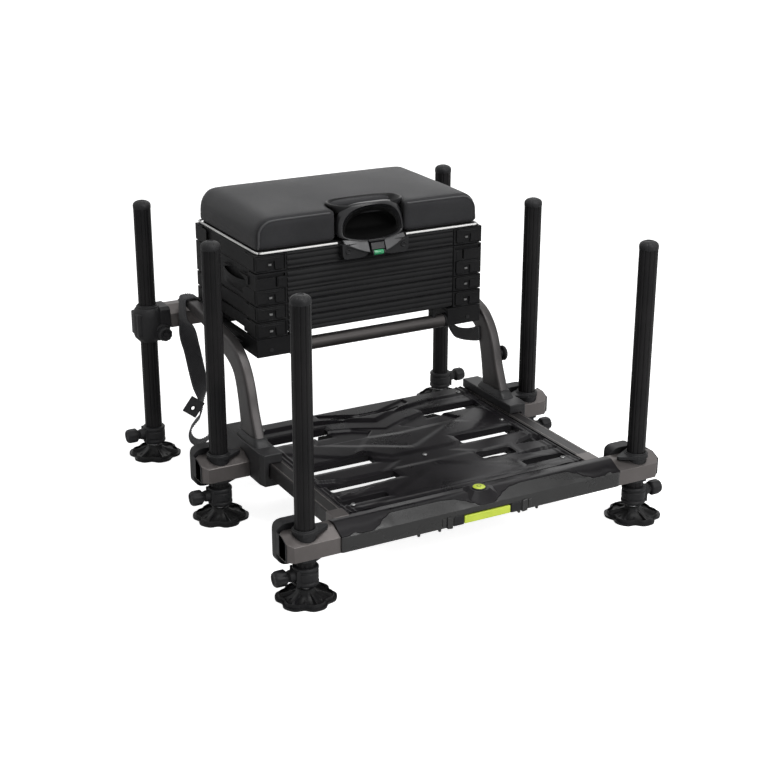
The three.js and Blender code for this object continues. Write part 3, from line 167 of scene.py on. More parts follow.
def rectangle(a: Pair, b: Pair, radius: float) -> list[Pair]:
    """A flat rectangle with round corners, over the two spans."""
    return round_outline([(a[0], b[0]), (a[1], b[0]), (a[1], b[1]), (a[0], b[1])], radius)


# Node trees ---------------------------------------------------------------------------------------------------


class Graph:
    """Short calls for building a node tree."""

    def __init__(self, tree: bpy.types.NodeTree) -> None:
        """Works on the given tree."""
        self.tree = tree

    @classmethod
    def of(cls, owner: bpy.types.Material | bpy.types.World) -> "Graph":
        """Starts the node tree of a material or a world afresh."""
        owner.use_nodes = True
        owner.node_tree.nodes.clear()
        return cls(owner.node_tree)

    def feed(self, socket: bpy.types.NodeSocket, value: object) -> None:
        """Links an output to the socket, or sets the socket's own value."""
        if isinstance(value, bpy.types.NodeSocket):
            self.tree.links.new(value, socket)
        else:
            socket.default_value = value

    def node(self, kind: str, inputs: dict | None = None, **settings: object) -> bpy.types.Node:
        """Adds a node.

        Args:
            kind: The node's type.
            inputs: What goes into its sockets, by name or number.
            settings: The node's own properties.

        Returns:
            The new node.
        """
        made = self.tree.nodes.new(kind)
        for key, value in settings.items():
            setattr(made, key, value)
        for key, value in (inputs or {}).items():
            self.feed(made.inputs[key], value)
        return made

    def maths(self, operation: str, *values: object, clamp: bool = False) -> bpy.types.NodeSocket:
        """The result of a Math node."""
        inputs = dict(enumerate(values))
        return self.node("ShaderNodeMath", inputs, operation=operation, use_clamp=clamp).outputs[0]

    def mix(self, factor: object, a: object, b: object) -> bpy.types.NodeSocket:
        """The colour between a and b."""
        colours = [(*c, 1.0) if isinstance(c, tuple) and len(c) == 3 else c for c in (a, b)]
        return self.node("ShaderNodeMix", {0: factor, 6: colours[0], 7: colours[1]}, data_type="RGBA").outputs[2]

    def remap(self, value: object, source: Pair, target: Pair) -> bpy.types.NodeSocket:
        """Carries a value from one range to another and holds it there."""
        inputs = {0: value, 1: source[0], 2: source[1], 3: target[0], 4: target[1]}
        return self.node("ShaderNodeMapRange", inputs, clamp=True).outputs[0]

    def place(self, stretch: Point = (1.0, 1.0, 1.0)) -> bpy.types.NodeSocket:
        """Object coordinates, stretched along the axes."""
        where = self.node("ShaderNodeTexCoord").outputs["Object"]
        return self.node("ShaderNodeMapping", {"Vector": where, "Scale": stretch}).outputs[0]

    def noise(self, vector: object, scale: object, detail: float = 3.0, rough: float = 0.55) -> bpy.types.NodeSocket:
        """The value of a Noise Texture."""
        inputs = {"Vector": vector, "Scale": scale, "Detail": detail, "Roughness": rough}
        return self.node("ShaderNodeTexNoise", inputs).outputs[0]


class EffectGroup:
    """Shader node groups with named inputs and outputs, each built once and shared by the finishes."""

    @staticmethod
    def start(name: str, inputs: dict[str, float], outputs: Sequence[str]) -> tuple[Graph, dict, dict]:
        """Starts a group.

        Args:
            name: The group's name.
            inputs: Each input's name and its value when nothing is given.
            outputs: The names of the outputs.

        Returns:
            The graph, the input sockets by name, and the output sockets by name.
        """
        tree = bpy.data.node_groups.new(name, "ShaderNodeTree")
        for key, value in inputs.items():
            tree.interface.new_socket(key, in_out="INPUT", socket_type="NodeSocketFloat").default_value = value
        for key in outputs:
            tree.interface.new_socket(key, in_out="OUTPUT", socket_type="NodeSocketFloat")
        graph = Graph(tree)
        entry, end = graph.node("NodeGroupInput"), graph.node("NodeGroupOutput")
        return graph, {key: entry.outputs[key] for key in inputs}, {key: end.inputs[key] for key in outputs}

    @staticmethod
    @cache
    def grain() -> bpy.types.NodeTree:
        """Fine spark-eroded grain of moulded plastic: a height and a slow change of tone."""
        g, given, out = EffectGroup.start("moulded_grain", {"Scale": 900.0}, ("Height", "Tone"))
        where = g.place()
        g.feed(out["Height"], g.noise(where, given["Scale"], 2.0, 0.6))
        g.feed(out["Tone"], g.noise(where, 9.0, 4.0))
        return g.tree

    @staticmethod
    @cache
    def leather() -> bpy.types.NodeTree:
        """Pebbled grain of coated upholstery fabric."""
        g, given, out = EffectGroup.start("leather_grain", {"Scale": 420.0}, ("Height", "Tone"))
        where = g.place()
        bend = g.maths("MULTIPLY", g.noise(where, 60.0, 2.0), 0.004)
        shifted = g.node("ShaderNodeVectorMath", {0: where, 1: bend}, operation="ADD").outputs[0]
        inputs = {"Vector": shifted, "Scale": given["Scale"]}
        cells = g.node("ShaderNodeTexVoronoi", inputs, feature="DISTANCE_TO_EDGE").outputs["Distance"]
        pebble = g.remap(cells, (0.0, 0.22), (0.0, 1.0))
        g.feed(out["Height"], g.maths("MULTIPLY_ADD", g.noise(where, 1900.0, 2.0), 0.3, pebble))
        g.feed(out["Tone"], g.noise(where, 7.0, 4.0))
        return g.tree

    @staticmethod
    @cache
    def weave() -> bpy.types.NodeTree:
        """Plain weave that follows the webbing's own UV map, in metres along and across it."""
        g, given, out = EffectGroup.start("webbing_weave", {"Scale": 800.0}, ("Height", "Tone"))
        where = g.node("ShaderNodeUVMap", uv_map="webbing").outputs[0]
        parts = g.node("ShaderNodeSeparateXYZ", {0: where}).outputs
        warp, weft = (
            g.maths("SINE", g.maths("MULTIPLY", g.maths("MULTIPLY", parts[i], given["Scale"]), math.pi)) for i in (1, 0)
        )
        weaves = g.maths("ADD", g.maths("ABSOLUTE", warp), g.maths("MULTIPLY", warp, weft))
        g.feed(out["Height"], g.maths("ADD", weaves, g.maths("MULTIPLY", g.maths("ABSOLUTE", weft), 0.6)))
        g.feed(out["Tone"], g.noise(g.place(), 30.0, 4.0))
        return g.tree

    @staticmethod
    @cache
    def drawn() -> bpy.types.NodeTree:
        """Long faint lines that a die leaves on extruded metal, along the piece's Z or X."""
        g, given, out = EffectGroup.start("drawn_lines", {"Scale": 700.0}, ("Height", "Tone"))
        along = g.noise(g.place((0.02, 1.0, 0.02)), given["Scale"], 2.0)
        g.feed(out["Height"], g.maths("MULTIPLY_ADD", along, 0.4, g.noise(g.place(), 2200.0, 2.0)))
        g.feed(out["Tone"], g.noise(g.place(), 12.0, 5.0))
        return g.tree

    @staticmethod
    @cache
    def edge_wear_and_highlight() -> bpy.types.NodeTree:
        """Where rubbing has polished the edges, broken up by noise; a light edge tone also paints a highlight along
        them.
        """
        g, given, out = EffectGroup.start("edge_wear_and_highlight", {"Radius": 0.0012, "Amount": 0.5}, ("Mask",))
        soft = g.node("ShaderNodeBevel", {"Radius": given["Radius"]}, samples=4).outputs[0]
        hard = g.node("ShaderNodeNewGeometry").outputs["Normal"]
        turn = g.node("ShaderNodeVectorMath", {0: soft, 1: hard}, operation="DOT_PRODUCT").outputs["Value"]
        edge = g.remap(turn, (0.995, 0.86), (0.0, 1.0))
        patches = g.remap(g.noise(g.place(), 45.0, 5.0, 0.7), (0.42, 0.62), (0.0, 1.0))
        g.feed(out["Mask"], g.maths("MULTIPLY", g.maths("MULTIPLY", edge, patches), given["Amount"], clamp=True))
        return g.tree

    @staticmethod
    @cache
    def dust() -> bpy.types.NodeTree:
        """Fine dust that settles on what faces up."""
        g, given, out = EffectGroup.start("settled_dust", {"Amount": 0.3}, ("Mask",))
        normal = g.node("ShaderNodeNewGeometry").outputs["Normal"]
        facing = g.remap(g.node("ShaderNodeSeparateXYZ", {0: normal}).outputs[2], (0.3, 1.0), (0.0, 1.0))
        patches = g.remap(g.noise(g.place(), 26.0, 8.0, 0.65), (0.4, 0.75), (0.0, 1.0))
        specks = g.remap(g.noise(g.place(), 700.0, 2.0), (0.5, 0.75), (0.2, 1.0))
        mask = g.maths("MULTIPLY", g.maths("MULTIPLY", facing, patches), specks)
        g.feed(out["Mask"], g.maths("MULTIPLY", mask, given["Amount"], clamp=True))
        return g.tree


class Texture(Enum):
    """The surface texture that a finish carries."""

    GRAIN = "grain"
    LEATHER = "leather"
    WEAVE = "weave"
    DRAWN = "drawn"


@dataclass(frozen=True)
class Finish:
    """One finish: its tones, its gloss, its texture, its rubbed and painted-highlight edges, and how dusty it is.

    Attributes:
        name: The material's name.
        slot: A material slot's name; not used.
        tones: The darker and the lighter tone of the surface.
        roughness: The roughness of the smoothest and of the dullest spots.
        metallic: 1 for bare or anodised metal.
        texture: The texture that gives the bump.
        scale: The texture's scale, in cycles per metre.
        depth: The depth of the bump in metres.
        wear_and_highlight: How strongly edges are rubbed, and lit with a painted highlight.
        wear_and_highlight_tone: The colour of a rubbed edge; where lighter than the surface, a painted highlight.
        dust: How much dust lies on upward faces.
        specular: The strength of reflections at the surface.
        coat: The weight of a clear coat.
        sheen: The weight of a cloth's sheen.
    """

    name: str
    slot: str
    tones: tuple[Colour, Colour]
    roughness: Pair
    metallic: float = 0.0
    texture: Texture = Texture.GRAIN
    scale: float = 900.0
    depth: float = 0.00004
    wear_and_highlight: float = 0.35
    wear_and_highlight_tone: Colour = (0.09, 0.09, 0.09)
    dust: float = 0.12
    specular: float = 0.3
    coat: float = 0.0
    sheen: float = 0.0

    def material(self) -> bpy.types.Material:
        """The finish as a Blender material, built the first time it is asked for."""
        if self.name in bpy.data.materials:
            return bpy.data.materials[self.name]
        made = bpy.data.materials.new(self.name)
        g = Graph.of(made)
        texture = g.node("ShaderNodeGroup", node_tree=getattr(EffectGroup, self.texture.value)())
        texture.inputs["Scale"].default_value = self.scale
        tone = g.remap(texture.outputs["Tone"], (0.35, 0.65), (0.0, 1.0))
        colour = g.mix(tone, *self.tones)
        dull = g.remap(texture.outputs["Tone"], (0.3, 0.7), self.roughness)
        # The edge mask mixes in the edge tone: rubbed edges, and a painted highlight where that tone is light.
        if self.wear_and_highlight:
            wear_and_highlight = g.node("ShaderNodeGroup", node_tree=EffectGroup.edge_wear_and_highlight())
            wear_and_highlight.inputs["Amount"].default_value = self.wear_and_highlight
            colour = g.mix(wear_and_highlight.outputs["Mask"], colour, self.wear_and_highlight_tone)
            dull = g.maths("MULTIPLY", dull, g.remap(wear_and_highlight.outputs["Mask"], (0.0, 1.0), (1.0, 0.75)))
        if self.dust:
            dust = g.node("ShaderNodeGroup", node_tree=EffectGroup.dust())
            dust.inputs["Amount"].default_value = self.dust
            colour = g.mix(dust.outputs["Mask"], colour, (0.16, 0.155, 0.145))
            dull = g.maths("ADD", dull, g.maths("MULTIPLY", dust.outputs["Mask"], 0.4), clamp=True)
        bump = g.node("ShaderNodeBump", {"Height": texture.outputs["Height"], "Distance": self.depth, "Strength": 1.0})
        shader = g.node("ShaderNodeBsdfPrincipled", {
            "Base Color": colour, "Roughness": dull, "Metallic": self.metallic, "Specular IOR Level": self.specular,
            "Coat Weight": self.coat, "Coat Roughness": 0.25, "Sheen Weight": self.sheen, "Sheen Roughness": 0.5,
            "Normal": bump.outputs[0],
        })
        g.node("ShaderNodeOutputMaterial", {"Surface": shader.outputs[0]})
        return made


class Finishes:
    """Every finish on the seat box."""

    LEG = Finish(
        "black_anodised", "anodised", ((0.007, 0.007, 0.0075), (0.011, 0.0105, 0.011)), (0.28, 0.4),
        texture=Texture.DRAWN, depth=0.00002, wear_and_highlight=0.3, wear_and_highlight_tone=(0.05, 0.048, 0.046), specular=0.13,
    )
    RAM = Finish(
        "bright_anodised", "anodised", ((0.18, 0.18, 0.185), (0.24, 0.24, 0.245)), (0.3, 0.42), metallic=1.0,
        texture=Texture.DRAWN, depth=0.00002, wear_and_highlight=0.2, wear_and_highlight_tone=(0.5, 0.5, 0.5),
    )
    # Its light edge tone, rubbed on strongly, paints the bright highlight line along the rails' edges.
    RAIL = Finish(
        "gunmetal_anodised", "gunmetal", ((0.105, 0.096, 0.093), (0.128, 0.117, 0.114)), (0.34, 0.46), metallic=0.7,
        texture=Texture.DRAWN, depth=0.00003, wear_and_highlight=0.9, wear_and_highlight_tone=(0.42, 0.40, 0.39),
    )
    # Its light edge tone paints the highlight lines along the slide rails' edges.
    SLIDE = Finish(
        "dark_slide_rail", "gunmetal", ((0.016, 0.015, 0.0155), (0.022, 0.021, 0.021)), (0.32, 0.44), metallic=0.2,
        texture=Texture.DRAWN, depth=0.00003, wear_and_highlight=0.6, wear_and_highlight_tone=(0.16, 0.155, 0.15), specular=0.22,
    )
    BAR = Finish(
        "dark_gunmetal", "gunmetal", ((0.045, 0.042, 0.041), (0.058, 0.053, 0.052)), (0.38, 0.5), metallic=0.55,
        texture=Texture.DRAWN, depth=0.00003, wear_and_highlight=0.3, wear_and_highlight_tone=(0.2, 0.19, 0.185), specular=0.25,
    )
    ARM = Finish(
        "gunmetal_powder_coat", "arm_metal", ((0.052, 0.049, 0.049), (0.066, 0.061, 0.060)), (0.36, 0.48), metallic=0.6,
        scale=1400.0, depth=0.00005, wear_and_highlight=0.4, wear_and_highlight_tone=(0.22, 0.21, 0.2),
    )
    CASTING = Finish(
        "black_casting", "casting", ((0.009, 0.009, 0.010), (0.014, 0.014, 0.015)), (0.42, 0.58), specular=0.22,
        wear_and_highlight=0.4, wear_and_highlight_tone=(0.06, 0.06, 0.06),
    )
    # A lighter copy of the black casting: its lighter tone paints the light on the runners and the arms' shoes.
    RUNNER = Finish(
        "casting_painted_light", "casting", ((0.016, 0.016, 0.017), (0.023, 0.023, 0.024)), (0.4, 0.54), wear_and_highlight=0.4,
    )
    FOOT = Finish(
        "black_foot", "foot_plastic", ((0.006, 0.006, 0.007), (0.010, 0.010, 0.010)), (0.3, 0.45), specular=0.16,
        wear_and_highlight=0.4, wear_and_highlight_tone=(0.05, 0.05, 0.05), dust=0.2,
    )
    TRAY = Finish(
        "black_tray", "tray_plastic", ((0.009, 0.009, 0.0095), (0.014, 0.014, 0.0145)), (0.4, 0.52), specular=0.08,
        wear_and_highlight=0.3, wear_and_highlight_tone=(0.05, 0.05, 0.052),
    )
    DECK = Finish(
        "black_deck", "deck_plastic", ((0.006, 0.0055, 0.0065), (0.010, 0.009, 0.0105)), (0.25, 0.36), specular=0.15,
        scale=500.0, wear_and_highlight=0.15, wear_and_highlight_tone=(0.04, 0.04, 0.04), dust=0.04,
    )
    HOOD = Finish(
        "black_hood", "tray_plastic", ((0.009, 0.009, 0.010), (0.014, 0.014, 0.015)), (0.28, 0.38), specular=0.36,
        wear_and_highlight=0.25, wear_and_highlight_tone=(0.05, 0.05, 0.052), dust=0.05,
    )
    # A lighter grey than the hood's black plastic: painted reflection on the apron's tilted facets.
    FACET = Finish(
        "facet_painted_reflection", "tray_plastic", ((0.045, 0.045, 0.047), (0.060, 0.060, 0.062)), (0.3, 0.4), specular=0.5,
        wear_and_highlight=0.3, wear_and_highlight_tone=(0.14, 0.14, 0.14), dust=0.04,
    )
    # Near black: painted shade inside the hood's mouth and on the floors of the deck's sunk fields.
    PAINTED_SHADE = Finish(
        "painted_shade_black", "tray_plastic", ((0.003, 0.003, 0.003), (0.005, 0.005, 0.005)), (0.6, 0.75), specular=0.05,
        wear_and_highlight=0.0, dust=0.0,
    )
    MOULDING = Finish(
        "grey_moulding", "deck_plastic", ((0.013, 0.013, 0.013), (0.018, 0.018, 0.018)), (0.23, 0.32), specular=0.42,
        wear_and_highlight=0.35, wear_and_highlight_tone=(0.09, 0.09, 0.09), dust=0.08,
    )
    PIN = Finish(
        "bright_pin", "anodised", ((0.14, 0.14, 0.14), (0.2, 0.2, 0.2)), (0.3, 0.45), metallic=0.6,
        texture=Texture.DRAWN, depth=0.00002, wear_and_highlight=0.2, wear_and_highlight_tone=(0.7, 0.7, 0.7),
    )
    SCREW = Finish(
        "zinc_screw", "anodised", ((0.2, 0.2, 0.2), (0.3, 0.3, 0.3)), (0.25, 0.4), metallic=1.0,
        texture=Texture.DRAWN, depth=0.00002, wear_and_highlight=0.2, wear_and_highlight_tone=(0.5, 0.5, 0.5),
    )
    VINYL = Finish(
        "black_vinyl", "vinyl", ((0.018, 0.018, 0.0195), (0.026, 0.026, 0.028)), (0.44, 0.58), specular=0.12,
        texture=Texture.LEATHER, scale=480.0, depth=0.00016, wear_and_highlight=0.0, dust=0.1, sheen=0.08,
    )
    # Lighter than the vinyl it is sewn from: painted highlight along the seam's welt.
    WELT = Finish(
        "welt_painted_highlight", "vinyl", ((0.040, 0.040, 0.042), (0.055, 0.055, 0.058)), (0.4, 0.5),
        texture=Texture.LEATHER, scale=480.0, depth=0.0001, wear_and_highlight=0.0, dust=0.05, sheen=0.08,
    )
    PIPING = Finish(
        "white_piping", "vinyl", ((0.66, 0.66, 0.65), (0.80, 0.80, 0.79)), (0.4, 0.55), texture=Texture.LEATHER,
        depth=0.00005, wear_and_highlight=0.0, dust=0.0,
    )
    THREAD = Finish(
        "black_thread", "webbing", ((0.012, 0.012, 0.013), (0.02, 0.02, 0.022)), (0.6, 0.75), wear_and_highlight=0.0, dust=0.05,
        scale=2400.0, sheen=0.2,
    )
    EDGING = Finish(
        "grey_thread", "webbing", ((0.10, 0.10, 0.105), (0.15, 0.15, 0.155)), (0.6, 0.75), wear_and_highlight=0.0, dust=0.05,
        scale=2400.0, sheen=0.2,
    )
    LIME = Finish(
        "lime_moulding", "lime", ((0.46, 0.58, 0.035), (0.55, 0.66, 0.06)), (0.3, 0.42), wear_and_highlight=0.25,
        wear_and_highlight_tone=(0.7, 0.78, 0.3), dust=0.05, specular=0.5,
    )
    VIAL = Finish(
        "green_vial", "lime", ((0.005, 0.2, 0.07), (0.015, 0.34, 0.13)), (0.12, 0.2), wear_and_highlight=0.0, dust=0.0, specular=0.6,
        coat=0.5,
    )
    WEBBING = Finish(
        "woven_webbing", "webbing", ((0.016, 0.016, 0.018), (0.028, 0.028, 0.031)), (0.62, 0.8),
        texture=Texture.WEAVE, scale=420.0, depth=0.00025, wear_and_highlight=0.0, dust=0.15, sheen=0.25, specular=0.2,
    )


# Shapes -------------------------------------------------------------------------------------------------------


class Axis(Enum):
    """The axis that a prism is drawn along or a body is turned about."""

    X = 0
    Y = 1
    Z = 2

    def lift(self, a: float, b: float, along: float) -> Vector:
        """A point from its two flat coordinates, in axis order, and its place along the axis."""
        flat = [a, b]
        flat.insert(self.value, along)
        return Vector(flat)


class Solid:
    """Collects closed shapes in millimetres and hands them over as one piece."""

    def __init__(self) -> None:
        """Starts empty."""
        self.mesh = bmesh.new()

    @classmethod
    def of_node(cls, node: str) -> "Solid":
        """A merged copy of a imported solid's mesh, with its flat faces made whole."""
        made = cls()
        made.mesh.from_mesh(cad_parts[node].data)
        bmesh.ops.scale(made.mesh, vec=Vector((1, 1, 1)) / MM, verts=made.mesh.verts)
        bmesh.ops.remove_doubles(made.mesh, verts=made.mesh.verts, dist=0.01)
        flat = math.radians(0.6)
        bmesh.ops.dissolve_limit(made.mesh, angle_limit=flat, verts=made.mesh.verts, edges=made.mesh.edges)
        return made

    def loft(self, rings: Sequence[Sequence[Sequence[float]]]) -> "Solid":
        """Skins over rings of equal length and closes the first and the last with a face.

        Args:
            rings: The rings, in order.

        Returns:
            The solid itself.
        """
        rows = [[self.mesh.verts.new(Vector(p)) for p in ring] for ring in rings]
        size = len(rows[0])
        for low, high in zip(rows, rows[1:]):
            for i in range(size):
                j = (i + 1) % size
                self.mesh.faces.new((low[i], low[j], high[j], high[i]))
        self.mesh.faces.new(rows[0][::-1])
        self.mesh.faces.new(rows[-1])
        return self

    def prism(self, outline: Sequence[Pair], axis: Axis, span: Pair) -> "Solid":
        """Draws a flat outline along an axis."""
        return self.loft([[axis.lift(a, b, at) for a, b in outline] for at in span])

    def block(self, x: Pair, y: Pair, z: Pair, radius: float = 0.0) -> "Solid":
        """A block over three spans, with its upright edges rounded if a radius is given."""
        plan = rectangle(x, y, radius) if radius else [(x[0], y[0]), (x[1], y[0]), (x[1], y[1]), (x[0], y[1])]
        return self.prism(plan, Axis.Z, z)

    def lathe(
        self,
        profile: Sequence[Pair],
        centre: Pair,
        axis: Axis = Axis.Z,
        sides: int = 40,
        shape: Callable[[float, float, float], float] | None = None,
    ) -> "Solid":
        """Turns a profile about an axis.

        Args:
            profile: (radius, place along the axis) points. A radius of zero at an end closes it in a point. A profile
                that ends where it starts makes a ring, with a hole along the axis.
            centre: The axis's two other coordinates.
            axis: The axis to turn about.
            sides: How many facets go round.
            shape: Gives the radius from the radius, the angle and the place along, for a body that isn't round.

        Returns:
            The solid itself.
        """
        rows = []
        for radius, along in profile:
            if radius <= 0:
                rows.append([self.mesh.verts.new(axis.lift(*centre, along))])
                continue
            ring = []
            for angle in turns(sides):
                r = shape(radius, angle, along) if shape else radius
                a, b = centre[0] + r * math.cos(angle), centre[1] + r * math.sin(angle)
                ring.append(self.mesh.verts.new(axis.lift(a, b, along)))
            rows.append(ring)
        for low, high in zip(rows, rows[1:]):
            for i in range(sides):
                j = (i + 1) % sides
                if len(low) == 1 and len(high) > 1:
                    self.mesh.faces.new((low[0], high[j], high[i]))
                elif len(high) == 1 and len(low) > 1:
                    self.mesh.faces.new((low[i], low[j], high[0]))
                elif len(low) > 1:
                    self.mesh.faces.new((low[i], low[j], high[j], high[i]))
        if profile[0] == profile[-1]:
            bmesh.ops.remove_doubles(self.mesh, verts=self.mesh.verts, dist=0.001)
            return self
        for row in (rows[0], rows[-1]):
            if len(row) > 1:
                self.mesh.faces.new(row)
        return self

    def ribbon(self, centres: Sequence[Vector], widths: Sequence[Vector], width: float, thickness: float) -> "Solid":
        """Flat webbing with soft edges and a UV map in metres.

        Args:
            centres: The middle of the webbing at each station.
            widths: The direction of its width at each station.
            width: The webbing's width.
            thickness: Its thickness.

        Returns:
            The solid itself.
        """
        across = 6
        steps = [k / across for k in range(across + 1)]
        rings, places = [], []
        reach = 0.0
        for i, centre in enumerate(centres):
            before, after = centres[max(0, i - 1)], centres[min(len(centres) - 1, i + 1)]
            reach += (centre - centres[i - 1]).length if i else 0.0
            wide = widths[i].normalized()
            thick = (after - before).cross(wide).normalized()
            ring = []
            for face, run in ((-1, steps), (1, steps[::-1])):
                for t in run:
                    edge = abs(2 * t - 1)
                    swell = math.sqrt(max(0.0, 1 - edge**8)) * 0.5 + 0.12
                    ring.append(centre + wide * (t - 0.5) * width + thick * face * thickness * swell)
                    places.append((reach * MM, t * width * MM))
            rings.append(ring)
        self.loft(rings)
        layer = self.mesh.loops.layers.uv.new("webbing")
        flat = dict(zip(self.mesh.verts, places))
        for face in self.mesh.faces:
            for loop in face.loops:
                loop[layer].uv = flat[loop.vert]
        return self

    def tube(self, path: Sequence[Vector], radius: float, sides: int) -> "Solid":
        """A round cord along a path that never runs straight back on itself."""
        rings = []
        up = Vector((0, 0, 1))
        for i, centre in enumerate(path):
            run = (path[min(i + 1, len(path) - 1)] - path[max(i - 1, 0)]).normalized()
            if abs(run.dot(up)) > 0.95:
                up = Vector((0, 1, 0)) if abs(run.y) < 0.9 else Vector((1, 0, 0))
            side = run.cross(up).normalized()
            up = side.cross(run).normalized()
            rings.append([centre + side * radius * math.cos(a) + up * radius * math.sin(a) for a in turns(sides)])
        return self.loft(rings)

    def turned(self, matrix: Matrix) -> "Solid":
        """Moves everything made so far by a matrix in millimetres."""
        bmesh.ops.transform(self.mesh, matrix=matrix, verts=self.mesh.verts)
        return self

    def carved(self, tool: "Solid") -> "Solid":
        """Takes the space of another solid out of this one."""
        objects = [add_object("carve", part.data("carve", 1.0)) for part in (self, tool)]
        cut = objects[0].modifiers.new("carve", "BOOLEAN")
        cut.operation, cut.solver, cut.object = "DIFFERENCE", "EXACT", objects[1]
        self.mesh = bmesh.new()
        self.mesh.from_mesh(evaluated_mesh(objects[0]))
        for o in objects:
            bpy.data.objects.remove(o)
        return self

    def data(self, name: str, unit: float = MM) -> bpy.types.Mesh:
        """Hands the shapes over as a mesh, scaled by a unit, with their faces turned outwards."""
        bmesh.ops.recalc_face_normals(self.mesh, faces=self.mesh.faces)
        bmesh.ops.scale(self.mesh, vec=Vector((1, 1, 1)) * unit, verts=self.mesh.verts)
        data = bpy.data.meshes.new(name)
        self.mesh.to_mesh(data)
        self.mesh.free()
        return data

    def piece(self, name: str, body: str, finish: Finish, replaces: Iterable[str] = (), **look: float) -> None:
        """Makes the shapes a piece, as dress says."""
        dress(name, self.data(name), body, finish, replaces, **look)


def evaluated_mesh(obj: bpy.types.Object) -> bpy.types.Mesh:
    """A plain mesh of an object with its modifiers applied."""
    bpy.context.view_layer.update()
    graph = bpy.context.evaluated_depsgraph_get()
    return bpy.data.meshes.new_from_object(obj.evaluated_get(graph), depsgraph=graph)


def dress(
    name: str,
    data: bpy.types.Mesh,
    body: str,
    finish: Finish,
    replaces: Iterable[str] = (),
    bevel: float = 0.0,
    segments: int = 2,
    smooth: float = 35.0,
    rounds: int = 0,
) -> bpy.types.Object:
    """Makes a mesh in metres into a piece and lets it ride.

    Args:
        name: The piece's name.
        data: Its mesh.
        body: The body that it rides on.
        finish: Its finish.
        replaces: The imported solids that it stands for.
        bevel: The width of its rounded edges, or 0 for none.
        segments: How many facets each rounded edge has.
        smooth: Edges flatter than this many degrees are shaded smooth.
        rounds: Levels of subdivision.

    Returns:
        The new object.
    """
    obj = add_object(name, data)
    data.materials.clear()
    data.materials.append(finish.material())
    data.shade_smooth()
    if rounds:
        soft = obj.modifiers.new("rounding", "SUBSURF")
        soft.levels = soft.render_levels = rounds
    else:
        data.set_sharp_from_angle(angle=math.radians(smooth))
    if bevel:
        edge = obj.modifiers.new("soft_edges", "BEVEL")
        edge.width, edge.segments, edge.limit_method = bevel * MM, segments, "ANGLE"
        edge.angle_limit = math.radians(smooth)
        edge.use_clamp_overlap = True
        even = obj.modifiers.new("even_shading", "WEIGHTED_NORMAL")
        even.keep_sharp = True
    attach(obj, body)
    for node in replaces:
        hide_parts(node)
    log.info("%s: %d faces on %s", name, len(data.polygons), body)
    return obj


# Studio -------------------------------------------------------------------------------------------------------


@dataclass
class Studio:
    """Camera, lamps, pale floor and white surroundings.

    Attributes:
        camera_at: The camera's place in metres.
        azimuth: Its turn about the vertical in degrees.
        elevation: How far it looks down in degrees.
        roll: Its roll in degrees.
        lens: Its focal length for a 36 mm wide picture.
        floor_size: The floor's width in metres.
    """

    camera_at: Point = (-1.39673, -2.5563, 1.29956)
    azimuth: float = -28.74
    elevation: float = 20.36
    roll: float = 0.09
    lens: float = 71.39
    floor_size: float = 60.0

    def build(self) -> None:
        """Sets up the whole studio."""
        self.camera()
        self.lamp("soft_top", (0.3, -0.9, 2.7), (0.0, 0.0, 0.2), 1.5, 34.0)
        self.lamp("soft_left", (-2.6, -0.6, 1.7), (0.0, 0.0, 0.3), 1.5, 0.3)
        self.lamp("soft_front", (0.9, -3.0, 1.7), (0.0, 0.0, 0.3), 1.4, 40.0)
        self.lamp("soft_rear", (1.6, 2.2, 2.2), (0.0, 0.0, 0.4), 1.5, 9.0)
        self.floor()
        self.world()
        bpy.context.scene.view_settings.view_transform = "Standard"

    def camera(self) -> None:
        """The camera at the photograph's viewing angle."""
        data = bpy.data.cameras.new("camera")
        data.lens, data.sensor_width, data.clip_end = self.lens, 36.0, 200.0
        obj = add_object("camera", data)
        obj.location = self.camera_at
        turn = Matrix.Rotation(math.radians(self.azimuth), 4, "Z")
        tilt = Matrix.Rotation(math.radians(90.0 - self.elevation), 4, "X")
        roll = Matrix.Rotation(math.radians(self.roll), 4, "Z")
        obj.rotation_euler = (turn @ tilt @ roll).to_euler()
        bpy.context.scene.camera = obj

    def lamp(self, name: str, at: Point, target: Point, size: float, power: float) -> None:
        """A square soft lamp that points at a target."""
        data = bpy.data.lights.new(name, "AREA")
        data.shape, data.size, data.energy = "SQUARE", size, power
        obj = add_object(name, data)
        obj.location = at
        obj.rotation_euler = (Vector(target) - Vector(at)).to_track_quat("-Z", "Y").to_euler()

    def floor(self) -> None:
        """A pale floor that keeps the object's soft shadow."""
        half = self.floor_size / 2
        data = bpy.data.meshes.new("floor")
        data.from_pydata([(-half, -half, 0), (half, -half, 0), (half, half, 0), (-half, half, 0)], [], [(0, 1, 2, 3)])
        made = bpy.data.materials.new("pale_floor")
        g = Graph.of(made)
        seen = g.node("ShaderNodeLightPath").outputs["Is Camera Ray"]
        shade = g.mix(g.noise(g.place(), 3.0, 3.0), (0.80, 0.80, 0.80), (0.82, 0.82, 0.82))
        diffuse = g.node("ShaderNodeBsdfDiffuse", {"Color": shade})
        glow = g.node("ShaderNodeEmission", {"Color": (1, 1, 1, 1), "Strength": g.maths("MULTIPLY", seen, 0.82)})
        both = g.node("ShaderNodeAddShader", {0: diffuse.outputs[0], 1: glow.outputs[0]})
        g.node("ShaderNodeOutputMaterial", {"Surface": both.outputs[0]})
        data.materials.append(made)
        add_object("floor", data)

    def world(self) -> None:
        """White to the eye and in reflections, and a soft grey fill for the rest."""
        bpy.context.scene.world = bpy.data.worlds.new("surroundings")
        g = Graph.of(bpy.context.scene.world)
        path = g.node("ShaderNodeLightPath").outputs
        seen = g.maths("MAXIMUM", path["Is Camera Ray"], path["Is Glossy Ray"])
        seen = g.maths("MAXIMUM", seen, path["Is Transmission Ray"])
        strength = g.remap(seen, (0.0, 1.0), (0.45, 1.0))
        back = g.node("ShaderNodeBackground", {"Color": (1, 1, 1, 1), "Strength": strength})
        g.node("ShaderNodeOutputWorld", {"Surface": back.outputs[0]})


